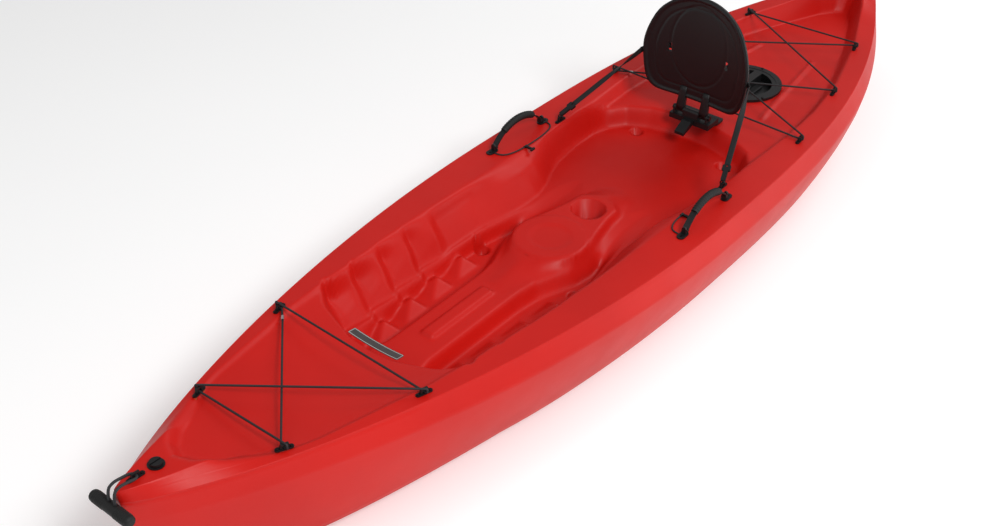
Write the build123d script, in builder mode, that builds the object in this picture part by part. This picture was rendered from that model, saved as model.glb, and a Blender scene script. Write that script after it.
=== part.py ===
from build123d import *
from math import atan2, cos, degrees, pi, sin, tan
import os

# Ten foot sit-on-top kayak: moulded hull with deck fittings, seat back, hatch and carry handles.
#
# Millimetres. +X points to the bow, +Y to port, +Z up. The origin is on the ground under the middle of
# the hull's length.

# ---------------------------------------------------------------- driving dimensions
HALF_LENGTH = 1529.0        # middle of the hull to either stem
HALF_BREADTH = 356.0        # widest half breadth at the deck edge
SHEER_MID = 256.0           # deck edge height amidships
SHEER_BOW_RISE = 63.0       # how much higher the deck edge is at the bow
SHEER_STERN_RISE = 53.0     # and at the stern
FLARE = 24.0                # how far the shoulder stands out beyond the deck edge
SHOULDER_DROP = 52.0        # from the deck edge down to the shoulder
CHINE_IN = 30.0             # how far the chine lies inside the deck edge
CHINE_HEIGHT = 42.0         # chine height amidships
NOSE_CROWN = 27.0           # height of the raised nose and tail caps above the deck edge
NOSE_START = 1190.0         # where the caps start, from the middle
NOSE_FULL = 1380.0          # where the caps reach their full height
WALL = 5.0                  # moulded wall thickness
DECK_TOP = 420.0            # height that every deck cutter reaches

SEAT_FLOOR = 170.0
FOOT_FLOOR = 130.0
SPINE_TOP = 172.0
CONSOLE_TOP = 190.0
CUP_X = 51.0
CUP_RADIUS = 42.0
CUP_DEPTH = 62.0
TRAY_FLOOR = 226.0          # sunken stern deck
RIB_HEIGHT = 6.0
SCUPPER_RADIUS = 14.0
SEAT_SCUPPER = (-380.0, 143.5)
FOOT_SCUPPER = (305.0, 150.0)
DISH_DEPTH = 44.0           # depth of the hollow foredeck at its aft end
DISH_AFT = 786.0
DISH_FORE = 1200.0
DISH_HALF_AFT = 226.0
DISH_HALF_FORE = 140.0

HATCH_X = -728.0
HATCH_FLANGE = 109.0        # outer radius of the hatch ring
HATCH_THROAT = 92.0         # inner radius of the ring's tube
HATCH_TUBE = 4.0            # wall of that tube
HATCH_LEDGE = 84.0          # inner radius of the ledge that carries the seal
HATCH_HEIGHT = 8.0          # flange thickness
HATCH_REACH = 30.0          # ring depth below the deck

CORD = 5.0                  # bungee diameter
KEEPER_CORD = 4.0           # paddle keeper cord diameter
TOGGLE_CORD = 6.0           # bow and stern handle cord diameter
EYE_SPAN = 30.0             # distance between the two screws of a pad eye
EYE_BASE = 3.0              # pad eye base thickness
EYE_BAR = 4.0               # pad eye bar thickness
EYE_HOLE = 7.0              # clear height under the bar
SCREW_RADIUS = 2.0
INSERT_RADIUS = 3.5
INSERT_LENGTH = 11.0

HANDLE_FRONT = (68.0, 302.0)
HANDLE_REAR = (-121.0, 297.0)
HANDLE_RISE = 50.0          # arch height above its pins
HANDLE_PIN_HEIGHT = 11.0    # pin height above the deck
HANDLE_PIN = 3.0
HANDLE_EYE = 7.5
STRAP_WIDTH = 16.0
STRAP_THICKNESS = 4.0
GRIP_RADIUS = 9.5

TOGGLE_LENGTH = 116.0
TOGGLE_RADIUS = 12.5
TOGGLE_OUT = 1544.0         # toggle centre from the middle
TOGGLE_HEIGHT = 312.0
ANCHOR_X = 1483.0           # bow and stern handle anchors

BACK_PIN = (-434.0, 262.0)  # backrest pin, x and z
BACK_PIN_RADIUS = 4.0
BACK_PIN_LENGTH = 112.0
BACK_TOP = 603.0
BACK_BOTTOM = 300.0
BACK_HALF_WIDTH = 165.0
BACK_SHELL = 7.0
BACK_CURVE = 620.0          # radius of the shell's hollow
BACK_CENTRE_X = -440.0
LEG_Y = 37.0
LEG_WIDTH = 24.0
SLOT_Y = 90.0
SLOT_Z = 437.0
WEB_WIDTH = 16.0
WEB_THICKNESS = 2.4

HOOK_LENGTH = 46.0          # strap hook, from the eye's bar to the end of the webbing
HOOK_EYE = 6.8              # radius of the hook's ring
HOOK_WIRE = 1.8
HOOK_WIDTH = 13.0
HOOK_THICKNESS = 6.5

FOAM_AFT = 345.0            # block of foam under the spine
FOAM_FORE = 760.0
FOAM_WIDTH = 84.0
BADGE_X = 848.0
BADGE_SIZE = (24.0, 150.0)
BADGE_THICKNESS = 1.6
EYE_END = 11.0              # pad eye length beyond its screws
EYE_WIDTH = 11.0
EYE_GAP = 11.0              # clear width under the bar
EYE_DEPTH = 6.0             # bar width
CORD_ENTRY = 9.0            # where a bungee enters the eye, inboard of its bar
CORD_RETURN = 9.0           # where it turns back, outboard of the bar
KEEPER_SLEEVE = 10.0
KEEPER_STEM = 24.0
CRIMP_FROM_EYE = 38.0
CRIMP_LENGTH = 14.0
CRIMP_WALL = 0.9
SCREW_HEAD = 3.8
SCREW_HEAD_HEIGHT = 2.2
SCREW_LENGTH = 12.0
GRIP_SHARE = 0.62           # part of the handle's length that the grip covers
FOOT_PLATE_SHIFT = 12.0
FOOT_PLATE_LENGTH = 38.0
FOOT_PLATE_WIDTH = 20.0
HATCH_LEDGE_THICKNESS = 4.0
SEAL_HEIGHT = 3.0
LID_WALL = 4.0
LID_POCKET = 80.0
LID_BAR = 26.0
DRAIN_FLANGE = 17.0
DRAIN_TUBE = 12.0
DRAIN_BORE = 9.0
DRAIN_CAP = 13.0
DRAIN_DEPTH = 16.0
BACK_SHOULDER = (126.0, 548.0)
BACK_WIDE_Z = 440.0
BACK_LOW = (158.0, 356.0)
BACK_FOOT = (104.0, 300.0)
SLOT_WIDTH = 8.0
SLOT_HEIGHT = 24.0
LEG_EYE = 9.0
BRACKET_AFT = -506.0
BRACKET_MID = -468.0
BRACKET_FORE = -420.0
BRACKET_TIP = -374.0
BRACKET_HALF = 64.0
BRACKET_PLATE = 6.0
BRACKET_TOP = 247.0

BAR_LIFT = 1.6              # how far a bungee clears the bar where it comes in over it
PLAY = 0.3                  # gap between touching curved faces
RUN = 0.05                  # radial running clearance of a pin
SEAT_GAP = 0.2              # sealing gap under a deck fitting
FOOT_GAP = 0.35             # more of it under the feet of the side handles
ANCHOR_BAR = 4.4            # width of the bar that the bow and stern cords turn under

STATIONS = [0, 200, 400, 600, 780, 940, 1080, 1200, 1300, 1380, 1440, 1480, 1504, 1518, 1529]


# ---------------------------------------------------------------- hull lines
def ease(value):
    """Smooth step from 0 to 1."""
    value = min(max(value, 0.0), 1.0)
    return value * value * (3.0 - 2.0 * value)


def half_breadth(x):
    """Half breadth of the deck edge."""
    t = min(abs(x) / HALF_LENGTH, 1.0)
    if x > 0:
        shape = (1.0 - t ** 1.9) ** 0.82
    else:
        shape = (1.0 - t ** 3.0) ** 1.1
    return 7.0 + (HALF_BREADTH - 7.0) * shape


def sheer(x):
    """Height of the deck edge."""
    t = abs(x) / HALF_LENGTH
    if x > 0:
        return SHEER_MID + SHEER_BOW_RISE * t ** 1.35
    return SHEER_MID + SHEER_STERN_RISE * t ** 3.0


def keel(x):
    """Height of the keel, flat amidships and curving up into the stem."""
    t = max(abs(x) - 860.0, 0.0) / (HALF_LENGTH - 860.0)
    return 92.0 * t ** 3.0 + (sheer(x) - 112.0) * t ** 26.0


def crown(x):
    """How far the deck's middle stands above its edge."""
    return NOSE_CROWN * ease((abs(x) - NOSE_START) / (NOSE_FULL - NOSE_START))


def section(x, inset=0.0):
    """Half outline of the hull at x, from the edge of its flat bottom to the middle of the deck."""
    b = half_breadth(x)
    top = sheer(x)
    low = keel(x)
    slim = min(b / HALF_BREADTH * 1.25, 1.0)
    chine = low + CHINE_HEIGHT * slim + 30.0 * ease((abs(x) - 500.0) / 800.0) * slim
    chine = min(chine, top - 0.55 * (top - low))
    shoulder = top - min(SHOULDER_DROP, 0.4 * (top - low))
    flat = 0.55 * b * slim
    cap = crown(x)
    return [
        (max(flat - inset, 2.0), low + inset),
        (max(b - CHINE_IN * slim - inset, 4.0), chine + 0.4 * inset),
        (max(b + FLARE * slim - inset, 5.0), shoulder),
        (max(b - inset, 4.5), top - inset),
        (max(0.62 * b - inset, 2.5), top + cap - inset),
        (0.0, top + cap - inset),
    ]


def deck_height(x, y):
    """Height of the deck before anything is sunk into it, straight between two stations."""
    after = next(i for i, place in enumerate(STATIONS) if place >= abs(x))
    near, far = STATIONS[max(after - 1, 0)], STATIONS[after]
    share = (abs(x) - near) / (far - near) if far > near else 0.0
    way = 1 if x > 0 else -1
    half = []
    for first, last in zip(section(way * near)[3:], section(way * far)[3:]):
        half.append([p + share * (q - p) for p, q in zip(first, last)])
    y = min(abs(y), half[0][0])
    for outer, inner in zip(half, half[1:]):
        if y >= inner[0]:
            share = (y - inner[0]) / (outer[0] - inner[0])
            return inner[1] + share * (outer[1] - inner[1])
    return half[-1][1]


def deck_plane(x, y, turn=0.0):
    """Plane on the deck at (x, y), with its x axis along the hull, turned about the deck's normal."""
    step = 6.0
    rise_x = (deck_height(x + step, y) - deck_height(x - step, y)) / (2 * step)
    rise_y = (deck_height(x, y + step) - deck_height(x, y - step)) / (2 * step)
    along = Vector(cos(turn), sin(turn), rise_x * cos(turn) + rise_y * sin(turn))
    return Plane(origin=(x, y, deck_height(x, y) + SEAT_GAP), x_dir=along, z_dir=Vector(-rise_x, -rise_y, 1))


def hull_body(inset=0.0, shorten=0):
    """Closed body of the hull. With an inset it is the space inside the wall."""
    fore = STATIONS[1:len(STATIONS) - shorten]
    middle = [-x for x in reversed(fore[:-1])] + [0] + fore[:-1]
    spans = [[-fore[-1], -fore[-2]], middle, [fore[-2], fore[-1]]]
    with BuildPart() as body:
        for span in spans:
            slices = []
            for x in span:
                half = section(x, inset)
                mirrored = [(-y, z) for y, z in reversed(half[:-1])]
                with BuildSketch(Plane(origin=(x, 0, 0), x_dir=(0, 1, 0), z_dir=(1, 0, 0))) as cut:
                    Polygon(*(half + mirrored), align=None)
                slices.append(cut.sketch)
            loft(sections=slices, ruled=True)
    return body.part


# ---------------------------------------------------------------- hollows in the deck
def mirror_outline(half):
    """Closed outline from its port half, listed from bow to stern."""
    return half + [(x, -y) for x, y in reversed(half) if abs(y) > 0.01]


def well(top, bottom, z_top, z_floor, corner, grow=0.0):
    """Cutter for a sunken well. grow gives the same well one wall thickness larger."""
    with BuildPart() as cutter:
        with BuildSketch(Plane.XY.offset(z_floor - grow)) as low:
            Polygon(*bottom, align=None)
            if grow:
                offset(amount=grow, kind=Kind.INTERSECTION)
            fillet(low.vertices(), corner)
        with BuildSketch(Plane.XY.offset(z_top)) as high:
            Polygon(*top, align=None)
            if grow:
                offset(amount=grow, kind=Kind.INTERSECTION)
            fillet(high.vertices(), corner)
        loft(ruled=True)
        extrude(high.sketch, amount=DECK_TOP - z_top)
    return cutter.part


def post(x, y, radius, low, high):
    """Upright cylinder."""
    with BuildPart() as cylinder:
        with BuildSketch(Plane.XY.offset(low)):
            with Locations((x, y)):
                Circle(radius)
        extrude(amount=high - low)
    return cylinder.part


COCKPIT = mirror_outline([
    (868, 0), (832, 168), (790, 236), (420, 248), (250, 246), (150, 214), (20, 210), (-80, 246),
    (-240, 262), (-345, 246), (-414, 200), (-446, 128), (-462, 0)])
COCKPIT_LOW = mirror_outline([
    (848, 0), (818, 140), (775, 215), (420, 226), (260, 222), (160, 196), (30, 192), (-80, 232),
    (-230, 250), (-330, 236), (-400, 192), (-434, 122), (-449, 0)])
SEAT = mirror_outline([
    (16, 0), (16, 196), (-80, 230), (-230, 247), (-326, 232), (-394, 188), (-426, 119), (-441, 0)])
SEAT_LOW = mirror_outline([
    (6, 0), (6, 168), (-80, 215), (-225, 238), (-316, 224), (-384, 182), (-416, 114), (-430, 0)])
SPINE = mirror_outline([(842, 0), (842, 70), (330, 66), (330, 0)])
SPINE_LOW = mirror_outline([(840, 0), (840, 62), (334, 60), (334, 0)])
FOOT = [(816, 62), (812, 138), (772, 212), (420, 224), (260, 220), (160, 192), (14, 190), (2, 70),
        (120, 76), (170, 100), (260, 102), (330, 64)]
FOOT_LOW = [(800, 84), (796, 128), (756, 180), (420, 184), (270, 180), (180, 168), (60, 160), (48, 96),
            (120, 100), (170, 124), (268, 124), (338, 86)]
TRAY = mirror_outline([
    (-300, 250), (-480, 258), (-640, 262), (-847, 232), (-1086, 164), (-1290, 82), (-1385, 0)])
TRAY_LOW = mirror_outline([
    (-300, 238), (-480, 244), (-640, 238), (-830, 204), (-1050, 142), (-1250, 66), (-1340, 0)])


def cockpit_cutters(grow=0.0):
    """Everything that is sunk into the deck, in the order it is cut."""
    port_foot = well(FOOT, FOOT_LOW, SPINE_TOP, FOOT_FLOOR, 6.0, grow)
    cutters = [
        well(COCKPIT, COCKPIT_LOW, SHEER_MID - 4, CONSOLE_TOP, 14.0, grow),
        well(SEAT, SEAT_LOW, CONSOLE_TOP + 6, SEAT_FLOOR, 12.0, grow),
        well(SPINE, SPINE_LOW, CONSOLE_TOP, SPINE_TOP, 4.0, grow),
        port_foot,
        port_foot.mirror(Plane.XZ),
        well(TRAY, TRAY_LOW, SHEER_MID, TRAY_FLOOR, 12.0, grow),
        post(CUP_X, 0, CUP_RADIUS + grow, CONSOLE_TOP - CUP_DEPTH - grow, DECK_TOP),
        foredeck_dish(grow),
    ]
    return cutters


def foredeck_dish(drop=0.0):
    """Space above the hollow foredeck. drop lowers its floor."""
    with BuildPart() as dish:
        for x, half, depth in ((DISH_AFT, DISH_HALF_AFT, DISH_DEPTH), (DISH_FORE, DISH_HALF_FORE, 2.0)):
            edge = deck_height(x, half) - drop
            with BuildSketch(Plane(origin=(x, 0, 0), x_dir=(0, 1, 0), z_dir=(1, 0, 0))):
                with BuildLine():
                    ThreePointArc((-half - drop, edge), (0, edge - depth), (half + drop, edge))
                    Polyline((half + drop, edge), (half + drop, DECK_TOP), (-half - drop, DECK_TOP),
                             (-half - drop, edge))
                make_face()
        loft(ruled=True)
    return dish.part


SCUPPERS = [(x, side * y) for x, y in (SEAT_SCUPPER, FOOT_SCUPPER) for side in (1, -1)]

# ---------------------------------------------------------------- where the fittings stand
FRONT_EYES = [(928, -217), (928, 217), (1232, -126), (1232, 126)]
REAR_EYES = [(-497, -306), (-497, 306), (-785, -255), (-785, 255), (-1058, -181), (-1058, 181)]
STRAP_EYES = [(-169, -262), (-169, 262)]


def edge_turn(x):
    """Direction of the deck edge at x, seen from above, on the port side."""
    return atan2(half_breadth(x + 5) - half_breadth(x - 5), 10.0)


def eye_plane(place):
    """Deck plane of a pad eye, lying along the deck edge."""
    x, y = place
    return deck_plane(x, y, edge_turn(x) * (1 if y > 0 else -1))


EYE_NAMES = ["front_pad_eye_" + str(n + 1) for n in range(len(FRONT_EYES))]
EYE_NAMES += ["rear_pad_eye_" + str(n + 1) for n in range(len(REAR_EYES))]
EYE_NAMES += ["starboard_strap_eye", "port_strap_eye"]
EYE_PLANES = [eye_plane(place) for place in FRONT_EYES + REAR_EYES + STRAP_EYES]


def slid(plane, along):
    """The same plane, moved along its own x axis."""
    return Plane(origin=plane.origin + plane.x_dir * along, x_dir=plane.x_dir, z_dir=plane.z_dir)


def screw_planes(plane, span):
    """The two screw places of a fitting, at its own deck plane."""
    return [slid(plane, side * span / 2) for side in (-1, 1)]


ANCHOR_PLANES = [deck_plane(ANCHOR_X, 0), deck_plane(-ANCHOR_X, 0)]
DRAIN_PLANE = deck_plane(1436.0, 0)
BRACKET_SCREWS = [(-488.0, 46.0), (-488.0, -46.0)]
HANDLE_SCREW_OUT = 20.0     # handle screw from the handle's pin, away from the grip
RING_SCREWS = 6
RING_SCREW_RADIUS = (HATCH_FLANGE + HATCH_THROAT + HATCH_TUBE) / 2 + 1.0


def handle_frame(side):
    """Plane through both pins of one side handle, with its x axis along them."""
    ends = [deck_plane(x, side * y) for x, y in (HANDLE_FRONT, HANDLE_REAR)]
    front, rear = [end.origin + end.z_dir * HANDLE_PIN_HEIGHT for end in ends]
    along = front - rear
    level = along.cross(Vector(0, 1, 0))
    return Plane(origin=(front + rear) * 0.5, x_dir=along, z_dir=level), along.length / 2


def foot_base(frame, half, end):
    """Deck plane of one handle foot, its x axis pointing away from the grip."""
    pin = frame.origin + frame.x_dir * (end * half)
    drop = HANDLE_PIN_HEIGHT - FOOT_GAP
    return Plane(origin=pin - frame.z_dir * drop, x_dir=frame.x_dir * end, z_dir=frame.z_dir)


RING_SCREW_PLACES = [(HATCH_X + RING_SCREW_RADIUS * cos(2 * pi * turn / RING_SCREWS),
                      RING_SCREW_RADIUS * sin(2 * pi * turn / RING_SCREWS))
                     for turn in range(RING_SCREWS)]
PAIR_SCREW_PLANES = [p for plane in EYE_PLANES for p in screw_planes(plane, EYE_SPAN)]
ANCHOR_SCREW_PLANES = [p for plane in ANCHOR_PLANES for p in screw_planes(plane, EYE_SPAN)]
HANDLE_SCREW_PLANES = [slid(foot_base(*handle_frame(side), end), HANDLE_SCREW_OUT)
                       for side in (1, -1) for end in (1, -1)]
INSERT_PLANES = PAIR_SCREW_PLANES + ANCHOR_SCREW_PLANES + HANDLE_SCREW_PLANES

os.makedirs("parts", exist_ok=True)


def save(piece, name):
    """Label one finished piece and write it."""
    piece.label = name
    export_step(piece, "parts/" + name + ".step")


# ---------------------------------------------------------------- hull
with BuildPart() as inner_space:
    add(hull_body(WALL, shorten=4))
    tubes = [post(x, y, SCUPPER_RADIUS + WALL, -10, DECK_TOP) for x, y in SCUPPERS]
    add(cockpit_cutters(WALL) + tubes, mode=Mode.SUBTRACT)

with BuildPart() as drillings:
    for x, y in SCUPPERS:
        add(post(x, y, SCUPPER_RADIUS, -5, CONSOLE_TOP))
    add(post(HATCH_X, 0, HATCH_THROAT + HATCH_TUBE + PLAY, TRAY_FLOOR - WALL - 10, TRAY_FLOOR + 10))
    for plane in INSERT_PLANES:
        with BuildSketch(plane.offset(-INSERT_LENGTH - RUN)):
            Circle(INSERT_RADIUS + RUN)
        extrude(amount=INSERT_LENGTH + 2)
    for x, y in RING_SCREW_PLACES + BRACKET_SCREWS:
        add(post(x, y, SCREW_RADIUS + RUN, TRAY_FLOOR - WALL - 5, TRAY_FLOOR + 5))
    with BuildSketch(DRAIN_PLANE.offset(-DRAIN_DEPTH - 10)):
        Circle(DRAIN_TUBE + RUN)
    extrude(amount=DRAIN_DEPTH + 15)

with BuildPart() as hull_shell:
    add(hull_body())
    add(cockpit_cutters() + [inner_space.part], mode=Mode.SUBTRACT)
    with BuildSketch(Plane.XY.offset(TRAY_FLOOR)):
        for side in (1, -1):
            with BuildLine():
                Polyline((-580, side * 134), (-580, side * 148), (-980, side * 97),
                         (-980, side * 83), close=True)
            make_face()
    extrude(amount=RIB_HEIGHT)
    add(drillings.part, mode=Mode.SUBTRACT)
save(hull_shell.part, "hull_shell")

print("hull_shell volume in litres", round(hull_shell.part.volume / 1e6, 2))

# ---------------------------------------------------------------- flotation foam and badge
with BuildPart() as flotation_foam:
    with BuildSketch(Plane.XY.offset(WALL + PLAY)):
        with Locations(((FOAM_AFT + FOAM_FORE) / 2, 0)):
            RectangleRounded(FOAM_FORE - FOAM_AFT, FOAM_WIDTH, 8)
    extrude(amount=SPINE_TOP - 2 * WALL - 2 * PLAY)
save(flotation_foam.part, "flotation_foam")

with BuildPart() as badge_plate:
    with BuildSketch(Plane.XY):
        with Locations((BADGE_X, 0)):
            RectangleRounded(BADGE_SIZE[0], BADGE_SIZE[1], 5)
    extrude(amount=DECK_TOP)
    add(foredeck_dish().moved(Location((0, 0, SEAT_GAP))), mode=Mode.INTERSECT)
    add(foredeck_dish().moved(Location((0, 0, BADGE_THICKNESS))), mode=Mode.SUBTRACT)
save(badge_plate.part, "badge_plate")


# ---------------------------------------------------------------- pad eyes, screws and inserts
def upright(plane, out=0.0):
    """Plane that stands on another one: its x axis is kept and its y axis points up from it."""
    return Plane(origin=plane.origin + plane.y_dir * out, x_dir=plane.x_dir, z_dir=-plane.y_dir)


def pad_eye(plane, bar_width=EYE_DEPTH):
    """Saddle with a bar that a cord or hook goes round."""
    top = EYE_BASE + EYE_HOLE + EYE_BAR
    with BuildPart() as eye:
        with BuildSketch(plane):
            SlotOverall(EYE_SPAN + EYE_END, EYE_WIDTH)
            with Locations((-EYE_SPAN / 2, 0), (EYE_SPAN / 2, 0)):
                Circle(SCREW_RADIUS + 0.1, mode=Mode.SUBTRACT)
        extrude(amount=EYE_BASE)
        with BuildSketch(upright(plane)):
            Polygon((-11, EYE_BASE / 2), (11, EYE_BASE / 2), (8.5, top), (-8.5, top), align=None)
            with Locations((0, EYE_BASE + EYE_HOLE / 2)):
                Rectangle(EYE_GAP, EYE_HOLE, mode=Mode.SUBTRACT)
        extrude(amount=bar_width / 2, both=True)
    return eye.part


def screw(plane, seat):
    """Pan head screw whose head lies at a height of seat above its plane."""
    with BuildPart() as fastener:
        with BuildSketch(plane.offset(seat)):
            Circle(SCREW_HEAD)
        extrude(amount=SCREW_HEAD_HEIGHT, taper=12)
        with BuildSketch(plane.offset(seat - SCREW_LENGTH)):
            Circle(SCREW_RADIUS)
        extrude(amount=SCREW_LENGTH + SCREW_HEAD_HEIGHT / 2)
    return fastener.part


def insert(plane):
    """Threaded insert moulded into the hull under one screw."""
    with BuildPart() as socket:
        with BuildSketch(plane.offset(-INSERT_LENGTH)):
            Circle(INSERT_RADIUS)
            Circle(SCREW_RADIUS + RUN, mode=Mode.SUBTRACT)
        extrude(amount=INSERT_LENGTH)
    return socket.part


for index, plane in enumerate(EYE_PLANES):
    save(pad_eye(plane), EYE_NAMES[index])
for name, plane in zip(("bow_cord_anchor", "stern_cord_anchor"), ANCHOR_PLANES):
    save(pad_eye(plane, ANCHOR_BAR), name)
save(Compound([screw(p, EYE_BASE) for p in PAIR_SCREW_PLANES + ANCHOR_SCREW_PLANES]), "pad_eye_screws")
save(Compound([insert(p) for p in INSERT_PLANES]), "threaded_inserts")


# ---------------------------------------------------------------- cords
def turn_at(before, corner, after):
    """Angle in degrees by which a route turns at a corner."""
    return (corner - before).get_angle(after - corner)


def tube(name, points, diameter):
    """Round cord along straight runs joined by tangent arcs."""
    route = [Vector(*point) for point in points]
    radii = []
    for before, corner, after in zip(route, route[1:], route[2:]):
        shorter = min((corner - before).length, (after - corner).length)
        radii.append(0.45 * shorter / tan(turn_at(before, corner, after) * pi / 360))
    with BuildPart() as cord:
        with BuildLine() as line:
            FilletPolyline(*route, radius=radii)
        wire = line.wires()[0]
        with BuildSketch(Plane(origin=wire @ 0, z_dir=wire % 0)):
            Circle(diameter / 2)
        sweep(path=wire)
    share = cord.part.volume / (pi * diameter ** 2 / 4 * wire.length)
    print(name, "length", round(wire.length), "volume share", round(share, 4), "smallest radius",
          round(min(radii), 1), "radii", [round(radius) for radius in radii])
    save(cord.part, name)


def lacing(planes, over_first):
    """Closed route of a bungee: through each eye's hole and back over its bar, or the other way."""
    low = EYE_BASE + EYE_HOLE / 2
    high = EYE_BASE + EYE_HOLE + EYE_BAR + CORD / 2 + BAR_LIFT
    route = []
    for plane, over in zip(planes, over_first):
        outboard = plane.y_dir * (1 if plane.origin.Y > 0 else -1)
        under = [(-CORD_ENTRY, low), (CORD_RETURN, low), (CORD_RETURN, high)]
        if over:
            under.reverse()
        for out, up in under:
            route.append(plane.origin + outboard * out + plane.z_dir * up)
    return route


def laced_bungee(word, planes, over_first):
    """Endless bungee: both ends of the cord meet in a crimped sleeve close to its first eye."""
    route = lacing(planes, over_first)
    back = (route[-1] - route[0]).normalized()
    joint = route[0] + back * CRIMP_FROM_EYE
    tube(word + "_bungee", [joint - back * RUN] + route + [joint + back * RUN], CORD)
    with BuildPart() as crimp:
        with BuildSketch(Plane(origin=joint - back * (CRIMP_LENGTH / 2), z_dir=back)):
            Circle(CORD / 2 + CRIMP_WALL)
            Circle(CORD / 2 + RUN, mode=Mode.SUBTRACT)
        extrude(amount=CRIMP_LENGTH)
    save(crimp.part, word + "_bungee_crimp")


laced_bungee("front", [EYE_PLANES[i] for i in (0, 1, 2, 3)], (False, False, True, True))
laced_bungee("rear", [EYE_PLANES[4 + i] for i in (0, 1, 2, 5, 4, 3)],
             (False, False, True, False, False, True))

# ---------------------------------------------------------------- bow and stern handles
BOW_CORD = [(1541, -9, 322), (1540, -9, 350), (1526, -9, 359), (1506, -9, 356), (1488, -10, 351.5),
            (1482, -4, 350.1), (1482, 4, 350.1), (1488, 10, 351.5), (1506, 9, 356), (1526, 9, 359),
            (1540, 9, 350), (1541, 9, 322)]


STERN_DROP = sheer(ANCHOR_X) - sheer(-ANCHOR_X)


def toggle():
    """Moulded grip of the bow handle, with two sockets for its cord loop."""
    with BuildPart() as grip:
        with BuildSketch(Plane(origin=(TOGGLE_OUT, 0, TOGGLE_HEIGHT), x_dir=(1, 0, 0), z_dir=(0, 1, 0))):
            Circle(TOGGLE_RADIUS)
        extrude(amount=TOGGLE_LENGTH / 2, both=True)
        fillet(grip.edges().filter_by(GeomType.CIRCLE), TOGGLE_RADIUS * 0.6)
        for side in (1, -1):
            start = Vector(BOW_CORD[0][0], side * 9, BOW_CORD[0][2])
            lean = Vector(-1, 0, 28)
            with BuildSketch(Plane(origin=start - lean.normalized() * PLAY, z_dir=lean)):
                Circle(TOGGLE_CORD / 2 + PLAY)
            extrude(amount=30, mode=Mode.SUBTRACT)
    return grip.part


bow_toggle = toggle()
save(bow_toggle, "bow_toggle")
save(bow_toggle.mirror(Plane.YZ).moved(Location((0, 0, -STERN_DROP))), "stern_toggle")
tube("bow_toggle_cord", BOW_CORD, TOGGLE_CORD)
tube("stern_toggle_cord", [(-x, y, z - STERN_DROP) for x, y, z in BOW_CORD], TOGGLE_CORD)


# ---------------------------------------------------------------- side carry handles
def handle_strap(frame, half, grow=0.0):
    """Webbing arch with an eye at each end, which turns on the feet's pins."""
    with BuildPart() as strap:
        with BuildSketch(upright(frame)):
            with BuildLine():
                ThreePointArc((-half - 2.5, 4), (0, HANDLE_RISE + grow), (half + 2.5, 4))
                Line((half + 2.5, 4), (half - 2.5, 4))
                ThreePointArc((half - 2.5, 4), (0, HANDLE_RISE - STRAP_THICKNESS - grow), (-half + 2.5, 4))
                Line((-half + 2.5, 4), (-half - 2.5, 4))
            make_face()
        extrude(amount=STRAP_WIDTH / 2 + grow, both=True)
        for end in (-1, 1):
            across = Plane(origin=frame.origin + frame.x_dir * (end * half), x_dir=frame.y_dir,
                           z_dir=frame.x_dir)
            with BuildSketch(across):
                Circle(HANDLE_EYE)
            extrude(amount=4, both=True)
            with BuildSketch(across):
                Circle(HANDLE_PIN + RUN)
            extrude(amount=6, both=True, mode=Mode.SUBTRACT)
    return strap.part


def handle_grip(frame, half):
    """Moulded grip round the middle of the strap."""
    rise = HANDLE_RISE - STRAP_THICKNESS / 2 - 4
    radius = (half * half + rise * rise) / (2 * rise)
    reach = GRIP_SHARE * half
    drop = radius - (radius * radius - reach * reach) ** 0.5
    top = 4 + rise
    stand = upright(frame)
    middle, left, right = [stand.from_local_coords(Vector(x, y, 0))
                           for x, y in ((0, top), (-reach, top - drop), (reach, top - drop))]
    with BuildPart() as grip:
        with BuildLine() as line:
            ThreePointArc(left, middle, right)
        wire = line.wires()[0]
        with BuildSketch(Plane(origin=wire @ 0, z_dir=wire % 0)):
            Circle(GRIP_RADIUS)
        sweep(path=wire)
        add(handle_strap(frame, half, grow=RUN * 3), mode=Mode.SUBTRACT)
    return grip.part


def handle_foot(frame, half, end):
    """Screwed foot with an ear and a pin for one end of the handle."""
    pin = frame.origin + frame.x_dir * (end * half)
    base = foot_base(frame, half, end)
    side_on = Plane(origin=pin, x_dir=frame.y_dir, z_dir=frame.x_dir * end)
    with BuildPart() as foot:
        with BuildSketch(base):
            with Locations((FOOT_PLATE_SHIFT, 0)):
                SlotOverall(FOOT_PLATE_LENGTH, FOOT_PLATE_WIDTH)
            with Locations((HANDLE_SCREW_OUT, 0)):
                Circle(SCREW_RADIUS + 0.1, mode=Mode.SUBTRACT)
        extrude(amount=EYE_BASE)
        with BuildSketch(side_on.offset(4 + PLAY)):
            SlotCenterToCenter(HANDLE_PIN_HEIGHT, 12, rotation=90)
            Rectangle(40, 40, mode=Mode.INTERSECT)
        extrude(amount=5)
        with BuildSketch(base.offset(-20)):
            Rectangle(200, 200)
        extrude(amount=20, mode=Mode.SUBTRACT)
        with BuildSketch(side_on.offset(-5)):
            Circle(HANDLE_PIN)
        extrude(amount=5 + 4 + PLAY + 1)
    return foot.part


for side, word in ((1, "port"), (-1, "starboard")):
    frame, half = handle_frame(side)
    save(handle_strap(frame, half), word + "_handle_strap")
    save(handle_grip(frame, half), word + "_handle_grip")
    save(Compound([handle_foot(frame, half, end) for end in (1, -1)]), word + "_handle_feet")
    print(word, "handle axis from", frame.origin, "along", frame.x_dir, "half", round(half, 2))
save(Compound([screw(p, EYE_BASE) for p in HANDLE_SCREW_PLANES]), "handle_screws")

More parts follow.
